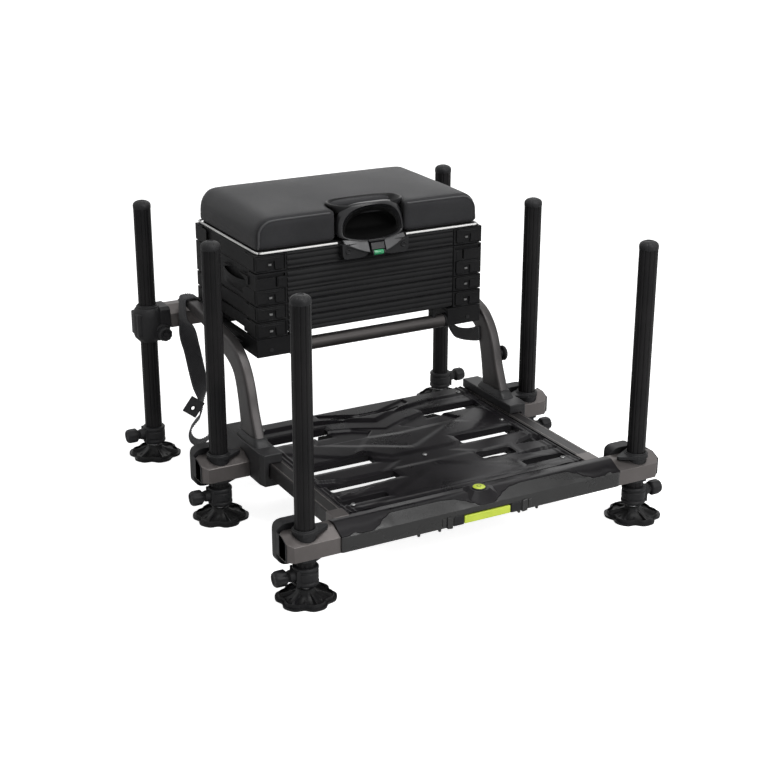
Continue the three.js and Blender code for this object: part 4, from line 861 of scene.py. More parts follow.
class Pattern:
    """Geometry Nodes trees that repeat a shape at points or along a path."""

    @staticmethod
    def start(name: str, inputs: dict[str, str]) -> tuple[Graph, dict, Callable]:
        """Starts a tree.

        Args:
            name: The tree's name.
            inputs: The socket type of each named input.

        Returns:
            The graph, the inputs by name, and a function that closes the tree over its instances.
        """
        tree = bpy.data.node_groups.new(name, "GeometryNodeTree")
        for key, kind in {"Geometry": "Geometry", **inputs, "Material": "Material"}.items():
            tree.interface.new_socket(key, in_out="INPUT", socket_type=f"NodeSocket{kind}")
        tree.interface.new_socket("Geometry", in_out="OUTPUT", socket_type="NodeSocketGeometry")
        graph = Graph(tree)
        entry, end = graph.node("NodeGroupInput"), graph.node("NodeGroupOutput")

        def close(instances: bpy.types.NodeSocket) -> None:
            """Makes the instances real and gives them their material."""
            real = graph.node("GeometryNodeRealizeInstances", {"Geometry": instances}).outputs[0]
            done = graph.node("GeometryNodeSetMaterial", {"Geometry": real, "Material": entry.outputs["Material"]})
            graph.feed(end.inputs[0], done.outputs[0])

        return graph, entry.outputs, close

    @staticmethod
    @cache
    def at_points() -> bpy.types.NodeTree:
        """One copy of a shape at each vertex."""
        g, given, close = Pattern.start("copies_at_points", {"Shape": "Object", "Turn": "Rotation"})
        shape = g.node("GeometryNodeObjectInfo", {"Object": given["Shape"]}).outputs["Geometry"]
        inputs = {"Points": given["Geometry"], "Instance": shape, "Rotation": given["Turn"]}
        close(g.node("GeometryNodeInstanceOnPoints", inputs).outputs[0])
        return g.tree

    @staticmethod
    @cache
    def along() -> bpy.types.NodeTree:
        """Copies of a shape at even spaces along a path, turned with it."""
        g, given, close = Pattern.start("copies_along_path", {"Shape": "Object", "Spacing": "Float"})
        path = g.node("GeometryNodeMeshToCurve", {"Mesh": given["Geometry"]}).outputs[0]
        even = g.node("GeometryNodeResampleCurve", {"Curve": path, "Length": given["Spacing"]}, mode="LENGTH")
        shape = g.node("GeometryNodeObjectInfo", {"Object": given["Shape"]}).outputs["Geometry"]
        run = g.node("GeometryNodeInputTangent").outputs[0]
        turn = g.node("FunctionNodeAlignRotationToVector", {"Vector": run}, axis="X").outputs[0]
        inputs = {"Points": even.outputs[0], "Instance": shape, "Rotation": turn}
        close(g.node("GeometryNodeInstanceOnPoints", inputs).outputs[0])
        return g.tree

    @staticmethod
    def piece(
        tree: bpy.types.NodeTree,
        name: str,
        body: str,
        finish: Finish,
        shape: Solid,
        points: Sequence[Sequence[float]],
        joined: bool = False,
        **values: object,
    ) -> None:
        """Runs a tree and makes its result a piece.

        Args:
            tree: The tree.
            name: The piece's name.
            body: The body that it rides on.
            finish: Its finish.
            shape: What it repeats, in millimetres.
            points: The vertices that the tree starts from, in millimetres.
            joined: Whether the points are joined into a path.
            values: The tree's other inputs by name, lengths in metres.
        """
        data = bpy.data.meshes.new("pattern_points")
        edges = [(i, i + 1) for i in range(len(points) - 1)] if joined else []
        data.from_pydata([Vector(p) * MM for p in points], edges, [])
        holder, model = add_object("pattern_holder", data), add_object("pattern_shape", shape.data("pattern_shape"))
        values |= {"Material": finish.material(), "Shape": model}
        run = holder.modifiers.new("pattern", "NODES")
        run.node_group = tree
        for item in tree.interface.items_tree:
            if item.in_out == "INPUT" and item.name in values:
                run[item.identifier] = values[item.name]
        result = evaluated_mesh(holder)
        for helper in (holder, model):
            bpy.data.objects.remove(helper)
        dress(name, result, body, finish, smooth=40)


def screw_head(radius: float) -> Solid:
    """A pan-head screw with a dished socket, standing on Z."""
    steps = [(0, -1.0), (1, -1.0), (1, 0.9), (0.82, 1.8), (0.5, 2.0), (0.44, 0.7), (0, 0.6)]
    profile = [(radius * share, up) for share, up in steps]
    return Solid().lathe(profile, (0, 0), sides=12)


def stitch(length: float, radius: float) -> Solid:
    """One stitch of thread, lying along X and dipping at its ends."""
    half = length / 2
    profile = [(0, -half), (radius, -half * 0.8), (radius * 1.15, 0), (radius, half * 0.8), (0, half)]
    return Solid().lathe(profile, (0, 0), Axis.X, 6)


# Sub-assemblies -----------------------------------------------------------------------------------------------


@dataclass
class Legs:
    """Six fluted leg tubes with caps, moulded collars, knobs and mud feet.

    Attributes:
        stance: Half the distance between the left and right legs.
        rows: Where the front, middle and rear legs stand.
        radius: The tube's radius.
        flutes: How many flutes run down it.
        flute_depth: Their depth.
        top: The top of the cap.
        collar: The collar's radius, bottom and top.
        knob_height: The height of the collar knob's axis.
    """

    stance: float = 360.0
    rows: tuple[float, float, float] = (-375.0, 10.0, 375.0)
    radius: float = 18.0
    flutes: int = 12
    flute_depth: float = 1.1
    top: float = 564.0
    collar: tuple[float, float, float] = (24.0, 30.0, 68.0)
    knob_height: float = 52.0

    def build(self) -> None:
        """Dresses all six legs."""
        for key, side, x, y in self.places():
            self.tube(key, x, y)
            self.cap(key, x, y)
            self.moulded_collar(key, x, y, side)
            self.knob(key, x, y, side)
            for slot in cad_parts[f"ram_{key}"].material_slots:
                slot.material = Finishes.RAM.material()

    def places(self) -> Iterable[tuple[str, int, float, float]]:
        """Each leg's key, its side, and its X and Y."""
        for station, y in zip(STATIONS, self.rows):
            for hand, side in HANDS.items():
                yield f"{station}_{hand}", side, side * self.stance, y

    def flute(self, radius: float, angle: float, along: float) -> float:
        """The tube's radius at an angle: round, with narrow flutes."""
        return radius - self.flute_depth * max(0.0, math.cos(self.flutes * angle)) ** 5

    def tube(self, key: str, x: float, y: float) -> None:
        """The fluted tube."""
        profile = [(16.0, 66.0), (self.radius, 66.0), (self.radius, 548.0), (16.0, 548.0)]
        solid = Solid().lathe(profile, (x, y), sides=self.flutes * 14, shape=self.flute)
        solid.piece(f"leg_tube_{key}", f"leg_{key}", Finishes.LEG, [f"leg_{key}"], smooth=40)

    def cap(self, key: str, x: float, y: float) -> None:
        """The domed end cap with its finger dimple."""
        r, top = self.radius, self.top

        def notched(radius: float, angle: float, along: float) -> float:
            """Eight shallow notches in the cap's shoulder."""
            return radius - 1.3 * max(0.0, math.cos(8 * angle)) ** 8 if 8.0 < radius < r + 0.3 else radius

        profile = [
            (0, top - 16.0), (r + 0.1, top - 16.0), (r + 0.5, top - 15.2), (r + 0.5, top - 8.8), (r - 0.6, top - 5.6),
            (r - 3.4, top - 2.8), (r - 7.5, top - 0.8), (r - 10.6, top), (6.4, top), (5.6, top - 1.2), (0, top - 1.4),
        ]
        dome = Solid().lathe(profile, (x, y), sides=96, shape=notched)
        dome.piece(f"leg_cap_{key}", f"leg_{key}", Finishes.CASTING, smooth=50)

    def moulded_collar(self, key: str, x: float, y: float, side: int) -> None:
        """The moulded collar with its ribs and the boss that carries the knob."""
        r, low, high = self.collar
        profile = [
            (14.3, low), (r - 4.5, low), (r - 1.0, low + 2.2), (r, low + 4.0), (r, low + 8.0), (r - 2.0, low + 9.2),
            (r - 2.0, low + 12.0), (r - 0.4, low + 13.0), (r - 0.4, high - 11.0), (r - 2.4, high - 10.0),
            (r - 2.4, high - 7.4), (r, high - 6.4), (r, high - 3.0), (r - 1.6, high - 0.8), (18.6, high - 0.1),
            (14.3, high - 0.1),
        ]
        solid = Solid().lathe(profile, (x, y), sides=48)
        boss = [(0, 15.0), (13.0, 15.0), (13.0, 21.5), (11.6, 26.5), (11.0, 32.6), (9.8, 34.0), (0, 34.0)]
        solid.lathe([(a, x + side * b) for a, b in boss], (y, self.knob_height), Axis.X, 28)
        for end in (-1, 1):
            solid.block(between(side, 8.0, 23.6, x), between(end, 12.5, 15.5, y), (low + 3.0, high - 3.0))
        solid.piece(f"leg_collar_{key}", f"leg_{key}", Finishes.CASTING, bevel=0.6, smooth=40)

    def knob(self, key: str, x: float, y: float, side: int) -> None:
        """The lobed clamp knob on its necked boss."""
        def lobes(radius: float, angle: float, along: float) -> float:
            """Eight round lobes on the knob's head."""
            return radius * (1 - 0.1 * (1 + math.cos(8 * angle)) / 2) if radius > 12.4 else radius

        profile = [
            (0, 30.0), (9.6, 34.4), (10.0, 35.4), (8.8, 36.8), (10.6, 38.4), (13.4, 39.0), (15.0, 41.4), (15.2, 49.0),
            (15.0, 57.0), (14.0, 60.0), (12.3, 61.8), (9.6, 62.2), (8.6, 60.4), (0, 60.0),
        ]
        turned = [(a, x + side * b) for a, b in profile]
        solid = Solid().lathe(turned, (y, self.knob_height), Axis.X, 64, lobes)
        solid.piece(f"knob_{key}", f"collar_knob_{key}", Finishes.CASTING, [f"collar_knob_{key}"], smooth=50)


@dataclass
class MudFeet:
    """The six mud feet: a lobed disc with raised ribs, a wall round the rim and a tall hub.

    Attributes:
        legs: Where the legs stand.
        reach: The radius over the lobes.
        notch: How much of the reach a notch takes.
        lobes: How many lobes there are.
        turn: The direction of the first lobe.
        spokes: How many facets go round.
    """

    legs: Legs
    reach: float = 55.5
    notch: float = 0.135
    lobes: int = 6
    turn: float = math.radians(-28.7)
    spokes: int = 120

    def build(self) -> None:
        """Makes all six feet."""
        for key, _, x, y in self.legs.places():
            self.foot(key, x, y)

    def rim(self, angle: float) -> float:
        """The rim's radius at an angle, as a share of the reach."""
        wave = (1 - math.cos(self.lobes * (angle - self.turn))) / 2
        return 1 - self.notch * wave**2.2

    def height(self, r: float, angle: float) -> float:
        """The height of the upper skin at a radius and an angle."""
        if r <= 15.5:
            return 24.0 if r > 9.0 else 22.6
        cone = 6.0 + 13.0 * max(0.0, 1 - (r - 15.5) / 24.0) ** 1.6
        across = math.sin(self.lobes * (angle - self.turn) / 2) * r / 3.0
        rib = math.exp(-((across / 3.2) ** 2)) * (19.0 - 9.0 * (r - 15.5) / 34.0)
        web = math.exp(-(((r - 48.5) / 2.2) ** 2)) * 11.0
        between_ribs = math.cos(self.lobes * (angle - self.turn) / 2) * r / 3.0
        pad = math.exp(-((between_ribs / 4.5) ** 2)) * (9.0 if r < 38 else 6.0)
        return max(cone, rib if r < 50 else 0.0, web, pad, 6.0)

    def foot(self, key: str, x: float, y: float) -> None:
        """One foot as a single closed skin."""
        radii = [6.0, 9.0, 10.2, 13.6, 15.5, 17.0, 19.5, 22.5, 26.0, 30.0, 34.0, 37.0, 40.0, 43.0, 45.0, 46.8, 48.5,
                 50.2, 52.0, 54.0, self.reach]
        angles = turns(self.spokes)
        rows = []
        for r in radii:
            grown = [r * self.rim(a) ** (r / self.reach) for a in angles]
            rows.append([(x + g * math.cos(a), y + g * math.sin(a), self.height(r, a)) for g, a in zip(grown, angles)])
        for z, inset in ((4.4, -0.1), (1.2, 0.5), (0.0, 2.4)):
            grown = [self.reach * self.rim(a) - inset for a in angles]
            rows.append([(x + g * math.cos(a), y + g * math.sin(a), z) for g, a in zip(grown, angles)])
        solid = Solid().loft(rows).lathe([(0, 23.0), (5.9, 23.0), (5.9, 24.8), (0, 24.8)], (x, y), sides=24)
        solid.piece(f"foot_disc_{key}", f"foot_{key}", Finishes.FOOT, [f"mud_foot_{key}"], smooth=50)


@dataclass
class Joints:
    """Rails, bushes, levers and castings that hold the legs.

    Attributes:
        legs: Where the legs stand.
        bush_top: The upper face of a bush's flange.
        casting: The bottom and the top of the rear castings.
        screw: The rear knob's axis: distance from the middle and height.
        screw_span: From the rear knob's face to the end of its stem.
        bore: The radius round a leg that stays clear in the castings.
    """

    legs: Legs
    bush_top: float = 136.3
    casting: Pair = (266.0, 338.0)
    screw: Pair = (339.0, 284.0)
    screw_span: Pair = (325.7, 352.5)
    bore: float = 18.9

    def build(self) -> None:
        """Dresses all of them."""
        stations = (("front", self.legs.rows[0], "footplate"), ("mid", self.legs.rows[1], "frame"))
        self.copy("front_rail", "rail_front", "footplate", Finishes.RAIL, 1.3)
        self.copy("rear_beam", "beam_rear", "frame", Finishes.RAIL, 1.3)
        for hand in HANDS:
            self.copy(f"mid_rail_{hand}", f"rail_mid_{hand}", "frame", Finishes.RAIL, 1.3)
            self.copy(f"side_rail_{hand}", f"rail_side_{hand}", "footplate", Finishes.SLIDE, 0.8)
            for station, _, body in stations:
                key = f"{station}_{hand}"
                self.copy(f"leg_bush_{key}", f"bush_{key}", body, Finishes.CASTING, 1.2)
                self.copy(f"clamp_lever_{key}", f"lever_{key}", f"lever_{key}", Finishes.CASTING, 3.0)
        for hand, side in HANDS.items():
            x, rear = side * self.legs.stance, self.legs.rows[2]
            for station, y, body in stations:
                self.lip(f"bush_lip_{station}_{hand}", body, x, y, self.bush_top, 1)
            self.lip(f"casting_lip_{hand}", "frame", x, rear, self.casting[1], 1)
            self.lip(f"casting_skirt_{hand}", "frame", x, rear, self.casting[0], -1)
            self.rear_knob(hand, side)
            self.rear_casting(hand, side, (x, rear))
            self.highlight_strips(hand, side)
            sleeve = Solid().block(between(side, 257.6, 289.6), (-349.6, -316.0), (101.6, 130.6), 1.5)
            sleeve.piece(f"rail_sleeve_{hand}", "footplate", Finishes.RAIL, bevel=0.8, smooth=30)
            for station, y, body in stations:
                self.end_cap(f"rail_cap_{station}_{hand}", body, side, y)

    def copy(self, node: str, name: str, body: str, finish: Finish, bevel: float) -> None:
        """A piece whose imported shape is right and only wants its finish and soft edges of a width."""
        Solid.of_node(node).piece(name, body, finish, [node], bevel=bevel, segments=3, smooth=30)

    def highlight_strips(self, hand: str, side: int) -> None:
        """Two bright strips along the top of a side rail that paint its edge highlight lines."""
        solid = Solid()
        for x in (263.5, 284.5):
            solid.block(between(side, x - 1.1, x + 1.1), (-348.5, 108.5), (129.4, 130.4))
        solid.piece(f"rail_beads_{hand}", "footplate", Finishes.RAIL, bevel=0.2, smooth=30)

    def end_cap(self, name: str, body: str, side: int, y: float) -> None:
        """The black cap over a rail's end, from the place of its leg in Y."""
        corners = [(-16.0, 88.0), (-16.0, 121.4), (3.0, 130.2), (25.2, 130.2), (25.2, 88.0)]
        outline = round_outline([(y + a, b) for a, b in corners], 1.0)
        solid = Solid().prism(outline, Axis.X, between(side, 402.6, 404.0))
        solid.piece(name, body, Finishes.CASTING, bevel=0.4, smooth=30)

    def rear_casting(self, hand: str, side: int, leg: Pair) -> None:
        """A rear casting: a rounded shell round the leg, a tapered boss for the knob, and two webs."""
        profile = [(0, 343.6), (13.6, 343.6), (16.4, 345.0), (17.6, 349.0), (22.5, 361.0), (24.5, 370.0), (24.0, 380.0),
                   (0, 380.0)]
        boss = Solid().lathe(profile, (side * self.screw[0], self.screw[1]), Axis.Y, 40)
        clear = Solid().lathe([(0, 240.0), (self.bore, 240.0), (self.bore, 340.0), (0, 340.0)], leg, sides=56)
        boss.carved(clear).piece(f"casting_boss_{hand}", "frame", Finishes.CASTING, smooth=40)
        shell = [(18.7, 266.5), (24.0, 266.5), (28.5, 270.5), (31.2, 279.0), (31.6, 300.0), (31.2, 318.0),
                 (29.6, 328.0), (25.5, 334.5), (22.0, 337.5), (18.7, 337.5), (18.7, 266.5)]
        node = f"rear_casting_{hand}"
        Solid().lathe(shell, leg, sides=56).piece(f"casting_{hand}", "frame", Finishes.CASTING, [node], smooth=40)
        plan = round_outline([(349.0, 292.0), (356.0, 286.5), (401.0, 286.5), (401.0, 336.5), (356.0, 336.5),
                              (349.0, 331.0)], 4.0)
        block = Solid().prism(plan, Axis.X, between(side, 318.4, 341.6))
        block.piece(f"casting_block_{hand}", "frame", Finishes.CASTING, bevel=2.0, smooth=35)
        web = Solid().block(between(side, 378.0, 389.5), (352.0, 398.0), (277.0, 327.0), 5.0)
        web.piece(f"casting_web_{hand}", "frame", Finishes.CASTING, bevel=2.5, segments=3, smooth=35)

    def lip(self, name: str, body: str, x: float, y: float, face: float, up: int) -> None:
        """The stepped ring where a leg leaves its bush."""
        profile = [
            (18.9, face - up * 2.0), (23.4, face - up * 2.0), (23.4, face + up * 0.6), (22.6, face + up * 1.4),
            (21.2, face + up * 1.6), (21.0, face + up * 3.2), (20.2, face + up * 4.0), (18.9, face + up * 4.0),
        ]
        Solid().lathe([*profile, profile[0]], (x, y), sides=48).piece(name, body, Finishes.CASTING, smooth=40)

    def rear_knob(self, hand: str, side: int) -> None:
        """The dished screw knob on a rear casting."""
        def grip(radius: float, angle: float, along: float) -> float:
            """Ten shallow flats on the knob's edge."""
            return radius * (1 - 0.06 * (1 + math.cos(10 * angle)) / 2) if radius > 13.0 else radius

        near, far = self.screw_span
        profile = [
            (0, far), (6.0, far), (6.0, near + 17.0), (9.0, near + 15.5), (13.4, near + 14.5), (15.2, near + 12.0),
            (15.2, near + 3.4), (14.2, near + 0.8), (12.4, near), (10.8, near + 0.8), (9.6, near + 4.6),
            (4.4, near + 5.4), (4.0, near + 3.6), (0, near + 3.4),
        ]
        solid = Solid().lathe(profile, (side * self.screw[0], self.screw[1]), Axis.Y, 60, grip)
        solid.piece(f"screw_knob_{hand}", f"rear_knob_{hand}", Finishes.CASTING, [f"rear_knob_{hand}"], smooth=45)


@dataclass
class Carrier:
    """Side arms, their shoes, the runners and the base frame with its crossbar.

    Attributes:
        arm_middle: The distance of an arm's middle plane from the object's.
        arm_half: Half an arm's width.
        outer: The arm's front and upper edge, as (Y, Z) points from the foot to the rear.
        inner: Its rear and lower edge, the same way.
        stud: The stud on the right arm: Y, Z and radius.
        bar: The crossbar's axis in Y and Z, and its radius.
        bar_half: Half the crossbar's length between the brackets.
    """

    arm_middle: float = 283.0
    arm_half: float = 11.6
    outer: tuple[Pair, ...] = (
        (-25, 150.3), (-11, 182), (3, 215), (13, 248), (23, 272), (34, 290), (48, 306), (66, 320), (88, 329),
        (111, 335), (141, 339), (171, 343), (225, 350), (280, 356), (320, 356), (350, 351), (368, 345),
    )
    inner: tuple[Pair, ...] = (
        (52, 150.3), (56, 182), (62, 216), (70, 246), (81, 269), (98, 283), (128, 295), (180, 313), (235, 326),
        (290, 335), (335, 340), (366, 342.5),
    )
    stud: tuple[float, float, float] = (19.0, 232.3, 16.0)
    bar: tuple[float, float, float] = (58.5, 313.8, 14.0)
    bar_half: float = 178.0

    def build(self) -> None:
        """Makes all of it."""
        for hand, side in HANDS.items():
            self.arm(hand, side * self.arm_middle)
            self.shoe(hand, side * self.arm_middle)
            self.runner(hand, side)
        self.strap_stud()
        self.base()

    def section(self, x: float, a: Vector, b: Vector, grow: float = 0.0) -> list[Vector]:
        """A soft-cornered section of the arm between two edge points, grown outwards if asked."""
        middle, half = (a + b) / 2, (b - a) / 2
        half += half.normalized() * grow
        ring = []
        for u, v in soft_square(48, 6.0):
            at = middle + half * v
            ring.append(Vector((x + u * (self.arm_half + grow), at.x, at.y)))
        return ring

    def arm(self, hand: str, x: float) -> None:
        """One arm, skinned between its two edges."""
        edges = [even_path(smooth_path([(y, z, 0) for y, z in edge], 6), 56) for edge in (self.outer, self.inner)]
        rings = [self.section(x, a, b) for a, b in zip(*edges)]
        Solid().loft(rings).piece(f"arm_{hand}", "frame", Finishes.ARM, [f"side_arm_{hand}"], smooth=60)

    def runner(self, hand: str, side: int) -> None:
        """The casting that a side rail slides in: a body with rounded ends and an open channel."""
        plan = round_outline([(262.0, -75.0), (300.0, -75.0), (304.4, -58.0), (304.4, 98.0), (300.0, 115.0),
                              (262.0, 115.0)], 2.5)
        body = Solid().prism(on_side(side, plan), Axis.Z, (84.0, 150.0))
        body = body.carved(Solid().block(between(side, 250.0, 290.4), (-90.0, 130.0), (100.8, 131.2)))
        node = f"runner_{hand}"
        body.piece(f"runner_body_{hand}", "frame", Finishes.RUNNER, [node], bevel=1.5, segments=3, smooth=30)

    def shoe(self, hand: str, x: float) -> None:
        """The casting's shoe round the foot of the arm."""
        steps = ((148.5, -31, 60, 6.0), (152, -30, 60, 5.4), (157, -26, 57, 3.6), (163, -22, 55, 1.5))
        rings = []
        for z, front, rear, grow in steps:
            ring = self.section(x, Vector((front, z, 0)), Vector((rear, z, 0)), grow)
            rings.append([Vector((p.x, p.y, z)) for p in ring])
        Solid().loft(rings).piece(f"arm_shoe_{hand}", "frame", Finishes.RUNNER, smooth=50)

    def strap_stud(self) -> None:
        """The round stud for a strap's end on the right arm."""
        y, z, r = self.stud
        x = self.arm_middle + self.arm_half
        profile = [(0, x - 1.0), (8.0, x - 1.0), (8.0, x + 3.0), (r - 1.5, x + 3.6), (r, x + 5.0), (r, x + 8.6),
                   (r - 1.6, x + 10.4), (r - 4.5, x + 11.0), (r - 5.5, x + 9.8), (4.0, x + 9.4), (3.4, x + 10.4),
                   (0, x + 10.4)]
        Solid().lathe(profile, (y, z), Axis.X, 48).piece("strap_stud", "frame", Finishes.CASTING, smooth=45)

    def base(self) -> None:
        """The corner brackets, the gunmetal crossbar between them and its clips."""
        clear = Solid().block((-self.bar_half + 1.0, self.bar_half - 1.0), (38.0, 86.0), (299.0, 346.0))
        brackets = Solid.of_node("base_frame").carved(clear)
        brackets.piece("base_brackets", "frame", Finishes.TRAY, ["base_frame"], bevel=1.6, smooth=30)
        head = Solid().lathe([(0, -1.0), (4.2, -1.0), (4.2, 1.0), (3.0, 1.8), (0, 1.8)], (0, 0), Axis.Y, 16)
        points = [(side * 226.0, 42.6, 318.0) for side in (-1, 1)]
        Pattern.piece(Pattern.at_points(), "bracket_screws", "frame", Finishes.CASTING, head, points)
        (y, z, r), reach = self.bar, self.bar_half
        tube = Solid().lathe([(0, -reach), (r, -reach), (r, reach), (0, reach)], (y, z), Axis.X, 48)
        tube.piece("crossbar", "frame", Finishes.BAR, smooth=40)
        cuffs = Solid()
        for side in (-1, 1):
            near, far = side * (reach - 5.0), side * (reach + 2.0)
            cuffs.lathe([(0, near), (r + 1.6, near), (r + 1.6, far), (0, far)], (y, z), Axis.X, 48)
            clip = [(50, 324), (50, 340), (53, 344.4), (66, 344.4), (68, 340), (68, 324)]
            cuffs.prism(clip, Axis.X, between(side, 145.0, 153.0))
        cuffs.piece("crossbar_cuffs", "frame", Finishes.TRAY, bevel=0.8, smooth=40)


@dataclass(frozen=True)
class TraySpan:
    """One tray module: its node, its bottom and top, and the feet of the wide and narrow bands of its panels."""

    node: str
    low: float
    high: float
    wide: tuple[float, ...]
    narrow: tuple[float, ...] = ()

    @property
    def deep(self) -> bool:
        """Whether it is the deep module, which has the hand grips."""
        return self.node == "deep_tray"


@dataclass
class Trays:
    """The stack of tray modules with ribbed panels and corner latch plates.

    Attributes:
        stack: The modules from the bottom up.
        half: Half the width over the side panels.
        front: The front panels' face.
        rear: The rear panels' face.
        corner: How far a corner block reaches from the side, and how far it stands proud.
        grip: The hand grip's span in Y and in Z on the deep tray.
        bands: The heights of the wide and the narrow bands of a ribbed panel.
        panel_foot: The foot of the lowest panel, which stands higher than its corner blocks.
    """

    stack: tuple[TraySpan, ...] = (
        TraySpan("bottom_tray", 342.0, 377.0, (346.6, 356.6, 366.6)),
        TraySpan("third_tray", 377.3, 410.0, (379.4, 389.7, 400.0)),
        TraySpan("deep_tray", 410.3, 476.0, (412.4, 423.2, 441.4, 452.4, 463.6), (434.2,)),
        TraySpan("top_tray", 476.3, 512.7, (485.7, 496.6), (478.2, 507.2)),
    )
    half: float = 252.0
    front: float = 46.0
    rear: float = 343.0
    corner: Pair = (66.0, 4.0)
    grip: tuple[Pair, Pair] = ((84.0, 200.0), (450.0, 468.0))
    bands: Pair = (8.4, 4.4)
    panel_foot: float = 345.5

    def build(self) -> None:
        """Makes the four modules."""
        for tray in self.stack:
            self.module(tray)
            self.panels(tray)
            self.plates(tray)
            if tray.deep:
                self.grip_lips()

    def module(self, tray: TraySpan) -> None:
        """The body of a module, with shadow gaps above and below and sunk fields for the latches."""
        body = Solid.of_node(tray.node)
        for low, high in ((tray.high - 1.4, tray.high + 0.4), (tray.low - 0.4, tray.low + 1.1)):
            gap = Solid().block((-290, 290), (20, self.rear + 3.4), (low, high))
            core = Solid().block((-251.0, 251.0), (self.front + 2.2, self.rear - 2.2), (low - 5, high + 5))
            body = body.carved(gap.carved(core))
        if tray is self.stack[0]:
            body = body.carved(Solid().block((-186.0, 186.0), (20.0, 49.5), (320.0, self.panel_foot)))
        if tray.deep:
            body = body.carved(self.grip_cut())
        for recess in self.recesses(tray):
            body = body.carved(recess)
        body.piece(f"body_{tray.node}", tray.node, Finishes.TRAY, [tray.node], bevel=0.6, smooth=30)

    def panels(self, tray: TraySpan) -> None:
        """The raised bands of the front and rear panels."""
        for size, rows in zip(self.bands, (tray.wide, tray.narrow)):
            for name, y, turn in (("front", self.front, 0.0), ("rear", self.rear, math.pi)):
                if rows:
                    Pattern.piece(Pattern.at_points(), f"bands_{name}_{size:.0f}_{tray.node}", tray.node,
                                  Finishes.TRAY, self.strip(size), [(0.0, y, z) for z in rows], Turn=(0.0, 0.0, turn))

    def strip(self, size: float) -> Solid:
        """One raised band of a ribbed panel, in front of the plane Y = 0, with its upper edge bevelled most."""
        reach = self.half - self.corner[0] + self.corner[1] - 2.6
        profile = [(0.6, 0.0), (-1.5, 0.0), (-2.2, 0.8), (-2.2, size - 2.2), (-0.6, size), (0.6, size)]
        return Solid().prism(profile, Axis.X, (-reach, reach))

    def latch(self, tray: TraySpan) -> Pair:
        """The lower and upper edges of the latch plates on a module."""
        return (tray.low + 4.0, tray.low + 31.0) if tray.deep else (tray.low + 4.5, tray.high - 4.0)

    def recesses(self, tray: TraySpan) -> list[Solid]:
        """The sunk fields of the corner blocks: one under each latch plate, and the deep tray's upper slots."""
        outer = self.half + self.corner[1]
        low, high = self.latch(tray)
        fields = [((outer - 63.0, outer - 2.6), (low - 1.6, high + 1.2), 2.4)]
        if tray.deep:
            fields.append(((outer - 63.0, outer - 3.0), (tray.high - 11.0, tray.high - 4.5), 4.8))
            fields.append(((outer - 46.0, outer - 42.0), (tray.high - 31.0, tray.high - 10.0), 4.8))
        made = []
        for xs, zs, depth in fields:
            made.append(Solid())
            for side in (-1, 1):
                for face, into in ((self.front - 3.0, 1), (self.rear + 3.0, -1)):
                    made[-1].block(between(side, *xs), between(into, -1.0, depth, face), zs)
        return made

    def plates(self, tray: TraySpan) -> None:
        """The raised latch plates on the corner blocks, each with its window and its metal pin."""
        outer = self.half + self.corner[1]
        low, high = self.latch(tray)
        left, right = outer - 41.0, outer - 26.0
        middle = low + (high - low) * 0.42
        plate = [
            (outer - 60.0, low + 3.0), (outer - 60.0, high - 2.0), (outer - 52.0, high), (outer - 2.0, high),
            (outer - 2.0, low), (right - 2.0, low), (right, middle - 5.5), (right, middle + 5.5),
            (left, middle + 5.5), (left, middle - 5.5), (left - 2.0, low), (outer - 57.0, low),
        ]
        upper = [(outer - a, tray.high - b) for a, b in ((60.0, 31.0), (60.0, 13.0), (48.5, 13.0), (48.5, 31.0))]
        solid, pins = Solid(), []
        for side in (-1, 1):
            for face, out in ((self.front - 3.0, -1), (self.rear + 3.0, 1)):
                solid.prism(on_side(side, plate), Axis.Y, between(out, -2.8, 0.9, face))
                ledge = rectangle((side * (outer - 50.0), side * (outer - 9.0)), (high - 5.2, high - 3.4), 0.8)
                solid.prism(ledge, Axis.Y, between(out, 0.7, 2.0, face))
                pins.append((side * (left + right) / 2 - 2.5, face - out * 1.0, middle - 1.0))
                if tray.deep:
                    solid.prism(on_side(side, upper), Axis.Y, between(out, -0.5, 1.0, face))
            for run in ((self.front + 2.0, self.front + 58.0), (self.rear - 58.0, self.rear - 2.0)):
                solid.prism(rectangle(run, (low, high), 2.0), Axis.X, between(side, outer - 0.5, outer + 1.2))
        solid.piece(f"plates_{tray.node}", tray.node, Finishes.TRAY, bevel=0.45, segments=1, smooth=30)
        pin = Solid().block((-3.4, 3.4), (-1.6, 1.6), (-1.8, 1.8), 0.7)
        Pattern.piece(Pattern.at_points(), f"pins_{tray.node}", tray.node, Finishes.PIN, pin, pins)

    def grip_cut(self) -> Solid:
        """The shallow space behind the two grip lips."""
        y, z = self.grip
        cut = Solid()
        for side in (-1, 1):
            arch = [(y[0] + (y[1] - y[0]) * t, z[0] - 2 + (z[1] - z[0]) * math.sin(math.pi * (0.06 + 0.88 * t)) ** 0.7)
                    for t in (i / 16 for i in range(17))]
            arch = [(y[0], z[0] - 26), *arch, (y[1], z[0] - 26)]
            cut.prism(arch, Axis.X, between(side, self.half - 2.2, self.half + 14.0))
        return cut

